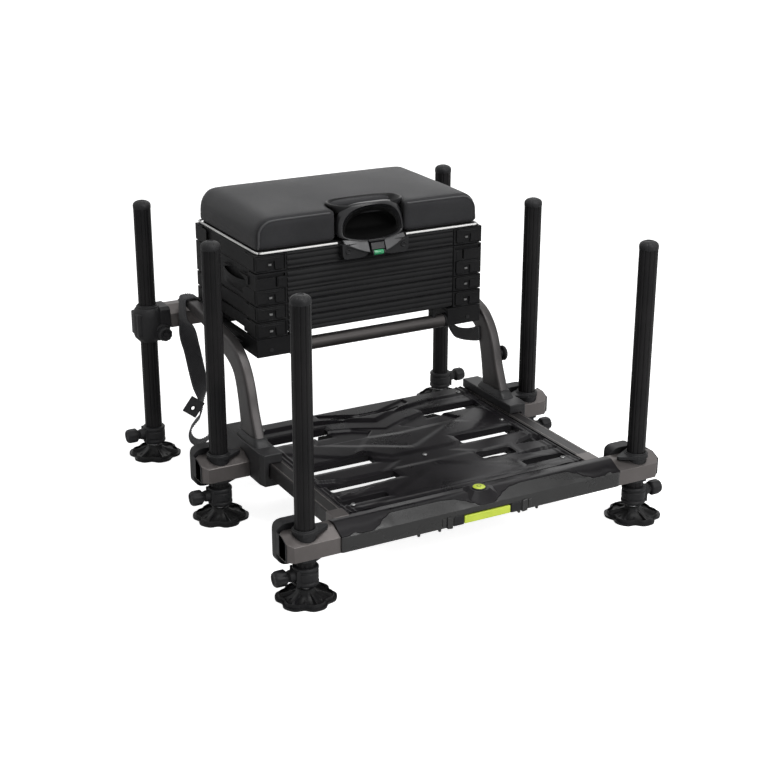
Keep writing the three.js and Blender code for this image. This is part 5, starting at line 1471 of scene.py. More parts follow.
    def grip_lips(self) -> None:
        """The curved lips that the fingers reach behind: they bulge outwards and hang from the corner blocks."""
        y, z = self.grip
        for hand, side in HANDS.items():
            rings = []
            for i in range(33):
                t = i / 32
                swell = math.sin(math.pi * (0.02 + 0.96 * t)) ** 0.6
                at = y[0] - 6.0 + (y[1] - y[0] + 12.0) * t
                top = z[0] + 8.0 - 9.0 * swell
                out = self.half + 1.0 + 8.4 * swell
                section = [(self.half - 2.4, z[0] - 30.0), (self.half + 0.6, z[0] - 29.0), (out - 1.8, top - 17.0),
                           (out - 0.2, top - 9.0), (out, top - 2.0), (out - 0.8, top), (out - 2.4, top - 0.6),
                           (out - 3.0, top - 6.0), (self.half + 0.2, top - 17.0), (self.half - 2.4, z[0] - 26.0)]
                rings.append([(side * a, at, b) for a, b in section])
            Solid().loft(rings).piece(f"grip_lip_{hand}", "deep_tray", Finishes.TRAY, smooth=50)


@dataclass
class Cushion:
    """The seat cushion and its white piping.

    Attributes:
        half: Half the cushion's width.
        span: Its front and rear.
        base: Its underside.
        top: The start of its crown.
        shoulder: The radius over the left and right edges.
        end: The radius along the front and rear edges.
        crown: How much the middle stands higher.
        notch: The notch for the hood: half its width and its rear.
        puff: How far a point may move while the pad swells.
        rise: How much the rear edge stands higher than the front edge.
        flare: How far the foot of a side reaches out again below its bulge.
    """

    half: float = 247.5
    span: Pair = (49.5, 343.5)
    base: float = 517.6
    top: float = 580.5
    shoulder: float = 32.0
    end: float = 9.0
    crown: float = 3.6
    notch: Pair = (78.0, 95.0)
    puff: float = 5.0
    rise: float = 4.5
    flare: float = 3.0

    def build(self) -> None:
        """Makes the pad, its seams, its stitches and the piping."""
        pad = self.pad()
        tree = bvhtree.BVHTree.FromBMesh(pad.mesh)
        for end in (-1, 1):
            self.seam(tree, end)
        obj = dress("cushion", pad.data("cushion"), "lid", Finishes.VINYL, ["seat_cushion"], rounds=1)
        self.piping()

    def form(self) -> Solid:
        """The pad before it swells: a wrapped panel with flat ends and the hood's notch."""
        (front, rear), low, high = self.span, self.base, self.top
        outline = [(-self.half + 2, low), (self.half - 2, low), (self.half, low + 3)]
        for side in (1, -1):
            for i in range(9):
                angle = math.pi / 2 * (i if side > 0 else 8 - i) / 8
                outline.append((side * (self.half - self.shoulder * (1 - math.cos(angle))),
                                high - self.shoulder * (1 - math.sin(angle))))
        outline.append((-self.half, low + 3))
        ends = [(self.end * (1 - math.sin(a)), front + self.end * (1 - math.cos(a)))
                for a in (math.pi / 2 * i / 6 for i in range(7))]
        rings = [*ends, *((0.0, front + self.end + (rear - front - 2 * self.end) * t / 8) for t in range(1, 8)),
                 *((inset, front + rear - y) for inset, y in ends[::-1])]
        loops = [[(a * (1 - inset / self.half), y, low + (b - low) * (1 - inset / (high - low))) for a, b in outline]
                 for inset, y in rings]
        half, deep = self.notch
        return Solid().loft(loops).carved(Solid().block((-half, half), (front - 20, deep), (low - 9, high + 30), 9.0))

    def pad(self) -> Solid:
        """The swollen pad in millimetres."""
        obj = add_object("pad_form", self.form().data("pad_form"))
        remesh = obj.modifiers.new("voxels", "REMESH")
        remesh.mode, remesh.voxel_size = "VOXEL", 0.006
        obj.data = evaluated_mesh(obj)
        obj.modifiers.clear()
        rest = [v.co.copy() for v in obj.data.vertices]
        self.swell(obj)
        pad = Solid()
        pad.mesh.from_mesh(evaluated_mesh(obj))
        bpy.data.objects.remove(obj)
        verts = pad.mesh.verts
        moves = [vert.co - home for vert, home in zip(verts, rest)]
        for _ in range(30):
            moves = [sum((moves[e.other_vert(v).index] for e in v.link_edges), moves[v.index]) / (len(v.link_edges) + 1)
                     for v in verts]
        most = max(move.length for move in moves)
        share = min(1.0, self.puff * MM / most) if most else 0.0
        for vert, home, move in zip(verts, rest, moves):
            vert.co = home + move * share
        bmesh.ops.scale(pad.mesh, vec=Vector((1, 1, 1)) / MM, verts=verts)
        for _ in range(3):
            bmesh.ops.smooth_vert(pad.mesh, verts=verts, factor=0.5, use_axis_x=True, use_axis_y=True, use_axis_z=True)
        for vert in verts:
            self.settle(vert.co)
        return pad

    def swell(self, obj: bpy.types.Object) -> None:
        """Blows the pad up like cloth over foam."""
        held = obj.vertex_groups.new(name="held")
        for vert in obj.data.vertices:
            if vert.co.z < (self.base + 6.0) * MM:
                held.add([vert.index], 1.0, "REPLACE")
        cloth = obj.modifiers.new("swelling", "CLOTH")
        settings = cloth.settings
        settings.quality, settings.mass = 5, 0.4
        settings.tension_stiffness = settings.compression_stiffness = 25.0
        settings.bending_stiffness = 3.0
        settings.use_pressure = True
        settings.uniform_pressure_force = 4.0
        settings.vertex_group_mass = "held"
        settings.effector_weights.gravity = 0.0
        cloth.collision_settings.use_collision = False
        for step in range(1, 21):
            bpy.context.scene.frame_set(step)
        log.info("the pad has swollen")

    def settle(self, at: Vector) -> None:
        """Gives a point of the pad its crown, the pull between the corners and its flat underside."""
        across = at.x / self.half
        middle = sum(self.span) / 2
        deep = (at.y - middle) / (self.span[1] - middle)
        up = max(0.0, min(1.0, (at.z - self.base) / (self.top - self.base)))
        at.z += self.crown * up**3 * max(0.0, 1 - across**4) * max(0.0, 1 - deep**4)
        at.z += self.rise * up**1.5 * min(1.0, max(0.0, (deep + 1) / 2)) ** 0.8
        waist = math.sin(math.pi * min(1.0, up))
        if abs(across) > 0.9:
            foot = self.flare * max(0.0, 1 - up / 0.4)
            at.x += math.copysign(foot - 2.2 * waist * max(0.0, 1 - deep**2), at.x)
        if abs(deep) > 0.9:
            at.y -= math.copysign(1.6 * waist * max(0.0, 1 - across**2), deep)
        if at.z < self.base + 1.5:
            at.z = self.base

    def seam(self, tree: bvhtree.BVHTree, end: int) -> None:
        """The sewn seam round the front or the rear panel, with a row of stitches beside it."""
        edge = self.span[0] if end < 0 else self.span[1]
        half, low, high = self.half - 2.0, self.base + 2.0, self.top - 4.0
        side = [(-half, low), (-half, low + 20), (-half, high - 34)]
        side += [(-half + 33 * (1 - math.cos(a)), high - 33 * (1 - math.sin(a)))
                 for a in (math.pi / 2 * i / 8 for i in range(1, 9))]
        path = side + [(a, high + 0.6) for a in (-190, -150, -110, -84)]
        path += [(-a, b) for a, b in path[::-1]]
        runs = [path[: len(path) // 2], path[len(path) // 2:]] if end < 0 else [path]
        for number, run in enumerate(runs):
            dense = even_path([Vector((a, edge, b)) for a, b in run], 90)
            snapped = [hit[0] + hit[1] * 0.25 for hit in map(tree.find_nearest, dense)]
            snapped = even_path(smooth_path(snapped[::3], 4), 110)
            name = f"{'front' if end < 0 else 'rear'}_{number}"
            # The welt's lighter finish paints a highlight along the seam.
            Solid().tube(snapped, 1.8, 8).piece(f"cushion_welt_{name}", "lid", Finishes.WELT, smooth=60)
            nearby = (tree.find_nearest(p + Vector((0, -end * 7.0, 3.0))) for p in snapped)
            beside = [hit[0] + hit[1] * 0.1 for hit in nearby]
            Pattern.piece(Pattern.along(), f"cushion_stitches_{name}", "lid", Finishes.THREAD, stitch(3.2, 0.4), beside,
                          joined=True, Spacing=4.6 * MM)

    def piping(self) -> None:
        """White piping round the foot of the cushion, open where the hood stands."""
        half, front, rear, r = 250.0, 45.6, 347.0, 11.0
        corners = rectangle((-half, half), (front, rear), r)
        start = next(i for i, (a, b) in enumerate(corners) if b < front + 1 and a > 0)
        ring = corners[start:] + corners[:start]
        path = [(77.5, front), *ring, (-77.5, front)]
        dense = even_path([Vector((a, b, 515.3)) for a, b in path], 420)
        Solid().tube(dense, 2.1, 12).piece("piping", "lid", Finishes.PIPING, smooth=60)


@dataclass
class Hood:
    """The lid board and the moulded hood in front of the cushion, with its mouth, apron and wings.

    Attributes:
        board: The board's half width, front, rear, bottom and top.
        brim: The brim's half width, front, rear and top.
    """

    board: tuple[float, float, float, float, float] = (247.0, 45.0, 347.0, 513.2, 517.2)
    brim: tuple[float, float, float, float] = (78.0, 49.0, 112.0, 589.0)

    def build(self) -> None:
        """Makes all of it."""
        self.lid_board()
        self.shell()
        self.brim_plate()
        self.apron()
        self.wings()

    def lid_board(self) -> None:
        """The board under the cushion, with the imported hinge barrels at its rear."""
        solid = Solid.of_node("lid")
        cut = bmesh.ops.bisect_plane(
            solid.mesh, geom=[*solid.mesh.verts, *solid.mesh.edges, *solid.mesh.faces], dist=0.001,
            plane_co=Vector((0, 130, 0)), plane_no=Vector((0, -1, 0)), clear_outer=True,
        )["geom_cut"]
        bmesh.ops.holes_fill(solid.mesh, edges=[e for e in cut if isinstance(e, bmesh.types.BMEdge)])
        half, front, _, low, high = self.board
        solid.block((-half, half), (front, 130.0), (low, high))
        solid.piece("lid_board", "lid", Finishes.TRAY, ["lid"], bevel=0.8, smooth=30)

    @staticmethod
    def ring(
        half: float, low: float, high: float, mid: float, power: float, place: Callable[[float, float], float]
    ) -> list[Vector]:
        """A closed ring round the mouth: an arch above its widest line and a shallow curve below it.

        Args:
            half: Half its width.
            low: Its lowest point.
            high: Its highest point.
            mid: The height where it is widest.
            power: How square its shoulders are; 2 is an ellipse.
            place: Gives the Y of a point from its X and Z.

        Returns:
            The ring's points.
        """
        points = []
        for (u, up), (_, down) in zip(soft_square(96, power), soft_square(96, 2.6)):
            x, z = half * u, mid + ((high - mid) * up if up >= 0 else (mid - low) * down)
            points.append(Vector((x, place(x, z), z)))
        return points

    def shell(self) -> None:
        """The hood's shell as one skin, from the rear over the rim into the dark mouth."""
        def lean(base: float, bow: float, tilt: float, half: float, low: float) -> Callable[[float, float], float]:
            """A face that bows back at its sides and leans back at its top."""
            return lambda x, z: base + bow * (x / half) ** 2 + tilt * (z - low) / 66.0

        rim = (
            (74.8, 515.5, 590.2, 531.0, 3.3, lean(36.0, 13.0, 13.0, 75.0, 510.0)),
            (73.6, 516.4, 590.6, 531.0, 3.1, lean(28.5, 16.0, 14.0, 73.0, 510.0)),
            (71.4, 517.2, 589.8, 531.0, 2.8, lean(24.0, 16.5, 15.0, 70.0, 510.0)),
            (68.6, 517.8, 588.0, 532.0, 2.5, lean(22.6, 15.5, 15.0, 66.0, 514.0)),
            (66.8, 518.4, 586.2, 533.0, 2.35, lean(23.4, 14.5, 15.0, 62.0, 518.0)),
            (65.6, 519.2, 584.6, 533.0, 2.3, lean(28.5, 13.0, 14.0, 60.0, 520.0)),
        )
        rear = (
            (70.0, 521.0, 567.0, 536.0, 3.4, lambda x, z: 92.5),
            (74.4, 519.0, 570.0, 534.0, 3.4, lambda x, z: 92.0),
            (75.0, 519.0, 571.4, 533.0, 3.4, lambda x, z: 88.0),
            (75.0, 518.6, 572.0, 533.0, 3.4, lambda x, z: 62.0),
            (75.0, 516.6, 580.0, 532.0, 3.4, lambda x, z: 51.0 - 8.0 * (1 - (x / 75.0) ** 2) * (z < 540)),
        )
        inside = (
            (61.0, 520.5, 572.5, 533.0, 2.25, lambda x, z: 52.0),
            (58.0, 522.0, 565.5, 533.0, 2.2, lambda x, z: 64.0),
            (50.0, 526.0, 560.0, 535.0, 2.2, lambda x, z: 82.0),
            (26.0, 532.0, 549.0, 539.0, 2.0, lambda x, z: 88.0),
        )
        rear, rim, inside = ([self.ring(*sizes) for sizes in rings] for rings in (rear, rim, inside))
        Solid().loft([*rear, *rim, *inside]).piece("hood_shell", "lid", Finishes.HOOD, smooth=60)
        # A near-black sheet just inside the mouth paints the shade there.
        shade_sheet = [[Vector((p.x * 0.985, p.y - 0.8, 540 + (p.z - 540) * 0.985)) for p in ring]
                 for ring in (rim[-1], *inside)]
        shade_sheet[0] = [Vector((p.x, p.y + 4.0, p.z)) for p in shade_sheet[0]]
        skin = [[Vector((p.x * 0.97, p.y - 0.9, 540 + (p.z - 540) * 0.97)) for p in ring] for ring in shade_sheet]
        Solid().loft([*shade_sheet[::-1], *skin]).piece("hood_liner", "lid", Finishes.PAINTED_SHADE, smooth=60)

    def brim_plate(self) -> None:
        """The pocket behind the mouth, sunk between it and the cushion, with its rolled lip."""
        half, front, rear, top = self.brim
        middle, reach = (front + rear) / 2, (rear - front) / 2
        steps = [(0.05, 17.5), (0.5, 17.5), (0.72, 17.0), (0.83, 14.5), (0.9, 9.5), (0.95, 4.4), (0.98, 1.6),
                 (1.01, 0.5), (1.035, 0.9), (1.05, 2.4), (1.05, 6.0), (0.93, 19.5), (0.5, 20.5), (0.05, 20.5)]
        rows = []
        for share, drop in steps:
            row = [(share * half * u, middle + share * reach * v) for u, v in soft_square(96, 3.0)]
            rows.append([(x, y, top - drop - 2.0 * max(0.0, (middle - y) / reach) ** 2) for x, y in row])
        # The darker foot finish paints shade in the sunk pocket.
        Solid().loft(rows).piece("hood_pocket", "lid", Finishes.FOOT, smooth=50)

    def apron(self) -> None:
        """The two facets that fall from the mouth towards the button, in a lighter grey that paints their bright
        reflection.
        """
        for hand, side in HANDS.items():
            rings = []
            for t in (i / 10 for i in range(11)):
                x = 18.2 + 50.0 * t
                bow = (x / 68.0) ** 2
                drop, rise = 496.0 + 19.0 * t**1.2, 519.6 + 1.5 * bow
                rings.append([
                    (side * x, 32.0 + 9.0 * bow, rise), (side * x, 29.0 + 10.0 * bow, rise - 0.2),
                    (side * x, 17.0 + 15.0 * bow, drop + 0.8), (side * x, 17.4 + 15.0 * bow, drop - 1.0),
                    (side * x, 31.0 + 8.0 * bow, drop - 1.0), (side * x, 38.0 + 5.0 * bow, rise - 1.0),
                ])
            Solid().loft(rings).piece(f"hood_apron_{hand}", "lid", Finishes.FACET, bevel=0.7, smooth=25)
        bridge = Solid().block((-18.6, 18.6), (23.6, 42.0), (515.0, 519.6))
        bridge.piece("hood_bridge", "lid", Finishes.HOOD, bevel=0.8, smooth=30)

    def wings(self) -> None:
        """The two wings of the skirt, each with a round boss."""
        for hand, side in HANDS.items():
            outline = [(17.4, 514), (17.4, 489.5), (24, 486), (35, 484), (66, 483.4), (71.5, 486), (74, 493),
                       (74.6, 514)]
            solid = Solid().prism(on_side(side, outline), Axis.Y, (28.5, 42.2))
            profile = [(0, 30.0), (6.0, 30.0), (6.0, 27.4), (4.9, 26.4), (3.8, 26.8), (3.2, 28.0), (0, 28.2)]
            solid.lathe(profile, (side * 62.0, 500.0), Axis.Y, 24)
            fin = [(22.0, 496.5), (64.0, 513.5), (66.5, 511.5), (25.0, 493.5)]
            solid.prism(on_side(side, fin), Axis.Y, (24.5, 30.0))
            solid.piece(f"hood_wing_{hand}", "lid", Finishes.CASTING, bevel=0.8, smooth=35)


@dataclass
class ReleaseButton:
    """The push button under the hood with its green level vial.

    Attributes:
        half: Half the button's width.
        side_view: Its outline seen from the side, as (Y, Z) points.
        vial: The vial's axis in Y and Z, its radius and half its length.
    """

    half: float = 14.8
    side_view: tuple[Pair, ...] = (
        (25.0, 513.8), (21.4, 512.6), (19.4, 504.0), (18.4, 500.0), (23.0, 498.0), (23.0, 489.4), (19.0, 488.6),
        (19.4, 487.2), (38.0, 487.2), (38.0, 513.8),
    )
    vial: tuple[float, float, float, float] = (19.6, 493.6, 5.2, 11.4)

    def build(self) -> None:
        """Makes the button and the vial in its cradle."""
        solid = Solid().prism(self.side_view, Axis.X, (-self.half, self.half))
        y, z, r, reach = self.vial
        for side in (-1, 1):
            ends = [(0, side * 11.0), (r + 0.6, side * 11.0), (r + 0.6, side * 13.6), (r - 0.6, side * 14.4),
                    (0, side * 14.4)]
            solid.lathe(ends, (y, z), Axis.X, 24)
        solid.piece("button_body", "release_button", Finishes.HOOD, ["release_button"], bevel=0.8, smooth=35)
        profile = [(0, -reach), (r * 0.8, -reach), (r, -reach + 1.2), (r, -2.6), (r + 0.12, -2.5), (r + 0.12, -2.1),
                   (r, -2.0), (r, 2.0), (r + 0.12, 2.1), (r + 0.12, 2.5), (r, 2.6), (r, reach - 1.2), (r * 0.8, reach),
                   (0, reach)]
        Solid().lathe(profile, (y, z), Axis.X, 32).piece("button_vial", "release_button", Finishes.VIAL, smooth=50)


def soft_step(value: float, width: float) -> float:
    """0 below -width, 1 above width, and smooth between."""
    t = max(0.0, min(1.0, (value + width) / (2 * width)))
    return t * t * (3 - 2 * t)


def inside_of(x: float, y: float, outline: Sequence[Pair]) -> float:
    """The distance from a point to an outline, positive where the point is inside."""
    best, inside = 1e9, False
    for i, (x1, y1) in enumerate(outline):
        x0, y0 = outline[i - 1]
        dx, dy = x1 - x0, y1 - y0
        t = max(0.0, min(1.0, ((x - x0) * dx + (y - y0) * dy) / (dx * dx + dy * dy)))
        best = min(best, (x - x0 - t * dx) ** 2 + (y - y0 - t * dy) ** 2)
        if (y0 > y) != (y1 > y) and x < x0 + (y - y0) * dx / dy:
            inside = not inside
    return math.sqrt(best) if inside else -math.sqrt(best)


@dataclass(frozen=True)
class Relief:
    """A raised or sunk field of the deck: its outline, its height and the width of its slope."""

    outline: tuple[Pair, ...]
    rise: float
    slope: float = 2.4

    def mirrored(self) -> "Relief":
        """The same field on the other side of the middle."""
        return Relief(tuple((-a, b) for a, b in self.outline[::-1]), self.rise, self.slope)

    def at(self, x: float, y: float) -> float:
        """Its height at a point."""
        reach = self.slope + 0.5
        if not (min(a for a, _ in self.outline) - reach < x < max(a for a, _ in self.outline) + reach):
            return 0.0
        if not (min(b for _, b in self.outline) - reach < y < max(b for _, b in self.outline) + reach):
            return 0.0
        return self.rise * soft_step(inside_of(x, y, self.outline), self.slope)


@dataclass(frozen=True)
class Slot:
    """A slot of the deck and its twin on the other side.

    Attributes:
        near: Its distance from the middle.
        far: How far out it reaches.
        front: Its front.
        rear: Its rear.
        far_right: How far out the right one reaches, where that differs.
    """

    near: float
    far: float
    front: float
    rear: float
    far_right: float | None = None

    def reach(self, side: int) -> float:
        """How far out it reaches on a side."""
        return self.far_right if side > 0 and self.far_right else self.far


@dataclass
class Deck:
    """The footplate's slotted deck, its raised X, and the skin that runs over the front rail.

    The front skin and the front moulding meet at a seam, which the two methods seam and slope place.

    Attributes:
        half: Half the plate's width.
        span: The plate's front and rear.
        under: Its underside.
        face: Its plain upper face.
        centre: The middle of the X.
        arms: How far the X reaches to the side and to the front and rear.
        band: The width of an arm of the X.
        slots: The slots, from the rear.
        step: The spacing of the points of the upper face.
        hollows: The sunk fields of the left half, which the right half repeats.
        swells: The raised fields.
    """

    half: float = 257.6
    span: Pair = (-341.0, 110.0)
    under: float = 118.0
    face: float = 127.6
    centre: Pair = (0.0, -172.0)
    arms: Pair = (236.0, 158.0)
    band: float = 62.0
    slots: tuple[Slot, ...] = (
        Slot(112.1, 246.1, 9.9, 44.2), Slot(97.9, 238.1, -152.0, -115.9),
        Slot(92.0, 238.1, -241.8, -208.0, far_right=172.0), Slot(150.0, 246.1, -305.8, -285.0),
    )
    step: float = 2.0
    hollows: tuple[Relief, ...] = (
        Relief(((-139, 28), (-107, 29), (-68, 14), (-35, -10), (-58, -35), (-93, -33), (-138, -33), (-167, -29)),
               -4.2, 3.0),
        Relief(((-102, 102), (-20, 66), (43, 68), (78, 78), (20, 58), (-60, 62), (-104, 84)), -3.0, 3.0),
        Relief(((191, -206), (222, -210), (251, -216), (252, -195), (244, -180), (207, -192)), -7.0, 2.0),
        Relief(((160, -255), (251, -262), (250, -258), (242, -250), (222, -247), (187, -249)), -7.0, 2.0),
    )
    swells: tuple[Relief, ...] = (
        Relief(((-60, -39), (14, -48), (137, -40), (249, -120), (90, -150), (-60, -150), (-110, -100)), 1.5, 9.0),
        Relief(((-110, -205), (110, -205), (150, -318), (-150, -318)), 1.4, 9.0),
    )

    def build(self) -> None:
        """Makes the plate, the front skin, the boss and the screws."""
        self.plate()
        self.painted_shade_pads()
        self.underside_ribs()
        self.front_skin()
        self.boss()
        self.screws()

    @cached_property
    def twins(self) -> list[Relief]:
        """The sunk fields of the right half."""
        return [field.mirrored() for field in self.hollows]

    @cached_property
    def cross(self) -> list[list[Pair]]:
        """The outlines of the four arms of the X."""
        arms = []
        for sx in (-1, 1):
            for sy in (-1, 1):
                along = Vector((sx * self.arms[0], sy * self.arms[1]))
                wide = Vector((-along.y, along.x)).normalized() * self.band / 2
                end, start = Vector(self.centre) + along, Vector(self.centre) - along * 0.12
                arms.append([tuple(start - wide * 1.25), tuple(end - wide * 0.8), tuple(end + wide * 0.8),
                             tuple(start + wide * 1.25)])
        return arms

    def height(self, x: float, y: float) -> float:
        """The height of the upper face at a point."""
        z = self.face + 1.5 * soft_step(max(inside_of(x, y, arm) for arm in self.cross), 9.0)
        out = abs(x) - 60.0
        edge = 28.0 + 17.0 * min(1.0, max(0.0, out / 90.0)) if out > 0 else 28.0 + out * 0.5
        z += 4.4 * soft_step(y - edge - 32.0, 7.0) + 1.6 * soft_step(y - edge + 12.0, 3.0)
        for place, rise in ((252.5, 2.6), (242.5, 1.8)):
            z += rise * max(0.0, 1 - abs(abs(x) - place) / 3.2) ** 0.6
        for slot in self.slots:
            far = slot.reach(1 if x > 0 else -1)
            gap = max(slot.near - abs(x), abs(x) - far, slot.front - y, y - slot.rear)
            z += 0.9 * math.exp(-(((gap - 3.6) / 3.0) ** 2)) - 2.0 * soft_step(6.0 - gap, 5.0)
        for relief in (*self.hollows, *self.swells, *self.twins):
            z += relief.at(x, y)
        return z + 1.6 * soft_step(-y - 326.0, 7.0)

    def plate(self) -> None:
        """The slotted plate with its relief."""
        columns = round(2 * self.half / self.step)
        rows = round((self.span[1] - self.span[0]) / self.step)
        solid = Solid()
        add, face = solid.mesh.verts.new, solid.mesh.faces.new
        grid = []
        for j in range(rows + 1):
            y = self.span[0] + (self.span[1] - self.span[0]) * j / rows
            xs = (-self.half + 2 * self.half * i / columns for i in range(columns + 1))
            grid.append([add((x, y, self.height(x, y))) for x in xs])
        for low, high in zip(grid, grid[1:]):
            for corners in zip(low, low[1:], high[1:], high):
                face(corners)
        border = grid[0] + [line[-1] for line in grid[1:-1]] + grid[-1][::-1] + [line[0] for line in grid[-2:0:-1]]
        foot = [add((v.co.x, v.co.y, self.under)) for v in border]
        for i in range(len(border)):
            j = (i + 1) % len(border)
            face((border[j], border[i], foot[i], foot[j]))
        face(foot[::-1])
        holes = Solid()
        for slot in self.slots:
            for side in (-1, 1):
                plan = rectangle(between(side, slot.near, slot.reach(side)), (slot.front, slot.rear), 8.0)
                holes.prism(plan, Axis.Z, (self.under - 10, self.face + 30))
        solid.carved(holes).piece("deck_plate", "footplate", Finishes.DECK, ["footplate_deck"], smooth=50)

    def painted_shade_pads(self) -> None:
        """Near-black pads on the floors of the sunk fields, painting the shade in them."""
        solid = Solid()
        for relief in (*self.hollows, *self.twins):
            middle = sum((Vector(p) for p in relief.outline), Vector((0, 0))) / len(relief.outline)
            inset = [Vector(p) + (middle - Vector(p)).normalized() * 4.0 for p in relief.outline]
            floor = min(self.height(p.x, p.y) for p in inset)
            solid.prism([tuple(p) for p in inset], Axis.Z, (floor - 1.5, floor + 0.5))
        solid.piece("deck_recess_pads", "footplate", Finishes.PAINTED_SHADE, smooth=30)

    def underside_ribs(self) -> None:
        """The ribs under the plate, along the slots."""
        solid = Solid()
        for slot in self.slots:
            for side in (-1, 1):
                for y in (slot.front - 3.0, slot.rear + 3.0):
                    solid.block(between(side, slot.near - 6, slot.far + 6), (y - 1.4, y + 1.4),
                                (self.under - 5.0, self.under + 0.5))
        solid.piece("deck_underside_ribs", "footplate", Finishes.DECK, smooth=30)

    @staticmethod
    def seam(x: float) -> float:
        """Where the seam with the front moulding runs: its Y at an X."""
        reach, front = abs(x), SEAM_FRONT
        points = ((0, front), (16, front), (30, -396.0), (44, -388.0), (62, -381.0), (90, -378.0), (190, -378.0),
                  (208, -386.0), (226, -398.0), (240, front), (262, front), (276, -400.0), (288, front), (303, front))
        for (a, low), (b, high) in zip(points, points[1:]):
            if reach <= b:
                t = (reach - a) / (b - a)
                return low + (high - low) * t * t * (3 - 2 * t)
        return front

    @staticmethod
    def slope(y: float) -> float:
        """The height of the sloping front at a Y."""
        return SEAM_LOW + (y - SEAM_FRONT) * 0.5

    def front_skin(self) -> None:
        """The skin from the plate over the front rail to the seam."""
        rings = []
        for x in (-301.8 + 603.6 * i / 151 for i in range(152)):
            seam = self.seam(x)
            on_plate = abs(x) < self.half + 2.0
            rear = -340.6 if on_plate else -350.6
            near = self.slope(seam)
            scoop = 1.6 * max(0.0, 1 - ((seam - SEAM_FRONT) / 24.0) ** 2)
            steps = [-378.5 + (seam + 378.5) * share for share in (0.35, 0.7)]
            slope = [(y, self.slope(y) + 0.9 - scoop) for y in steps]
            rings.append([(x, y, z) for y, z in (
                (rear, 128.4 if on_plate else 130.8), (-354.0, 131.6), (-362.0, 133.4), (-368.5, 134.7),
                (-375.0, 133.8), *slope, (seam + 1.6, near + 1.9), (seam + 0.3, near + 1.1), (seam + 0.2, near - 0.8),
                (seam + 2.4, near - 1.6), (-374.0, 130.4), (-360.0, 130.4), (rear, 120.0 if on_plate else 130.2),
            )])
        Solid().loft(rings).piece("deck_front_skin", "footplate", Finishes.DECK, smooth=32)

    def boss(self) -> None:
        """The faceted boss under the level bubble."""
        base = [(-33, -370), (-21, -348), (21, -348), (33, -370), (30, -392), (15, -405), (-15, -405), (-30, -392)]
        top = [(-19, -370), (-12, -356), (12, -356), (19, -370), (17, -383), (8, -389), (-8, -389), (-17, -383)]
        foot = [(a, b, 131.5 - max(0.0, -376.0 - b) * 0.5) for a, b in base]
        rings = [foot, [(a, b, z + 1.8) for a, b, z in foot], [(a, b, 138.0) for a, b in top]]
        Solid().loft(rings).piece("bubble_boss", "footplate", Finishes.DECK, bevel=1.4, segments=3, smooth=20)

    def screws(self) -> None:
        """Pan-head screws that hold the deck down."""
        places = [(-231, -311), (231, -311), (0, -172), (-232, 84), (232, 84), (-236, -84), (236, -84)]
        points = [(x, y, self.height(x, y)) for x, y in places]
        Pattern.piece(Pattern.at_points(), "deck_screws", "footplate", Finishes.SCREW, screw_head(5.0), points)


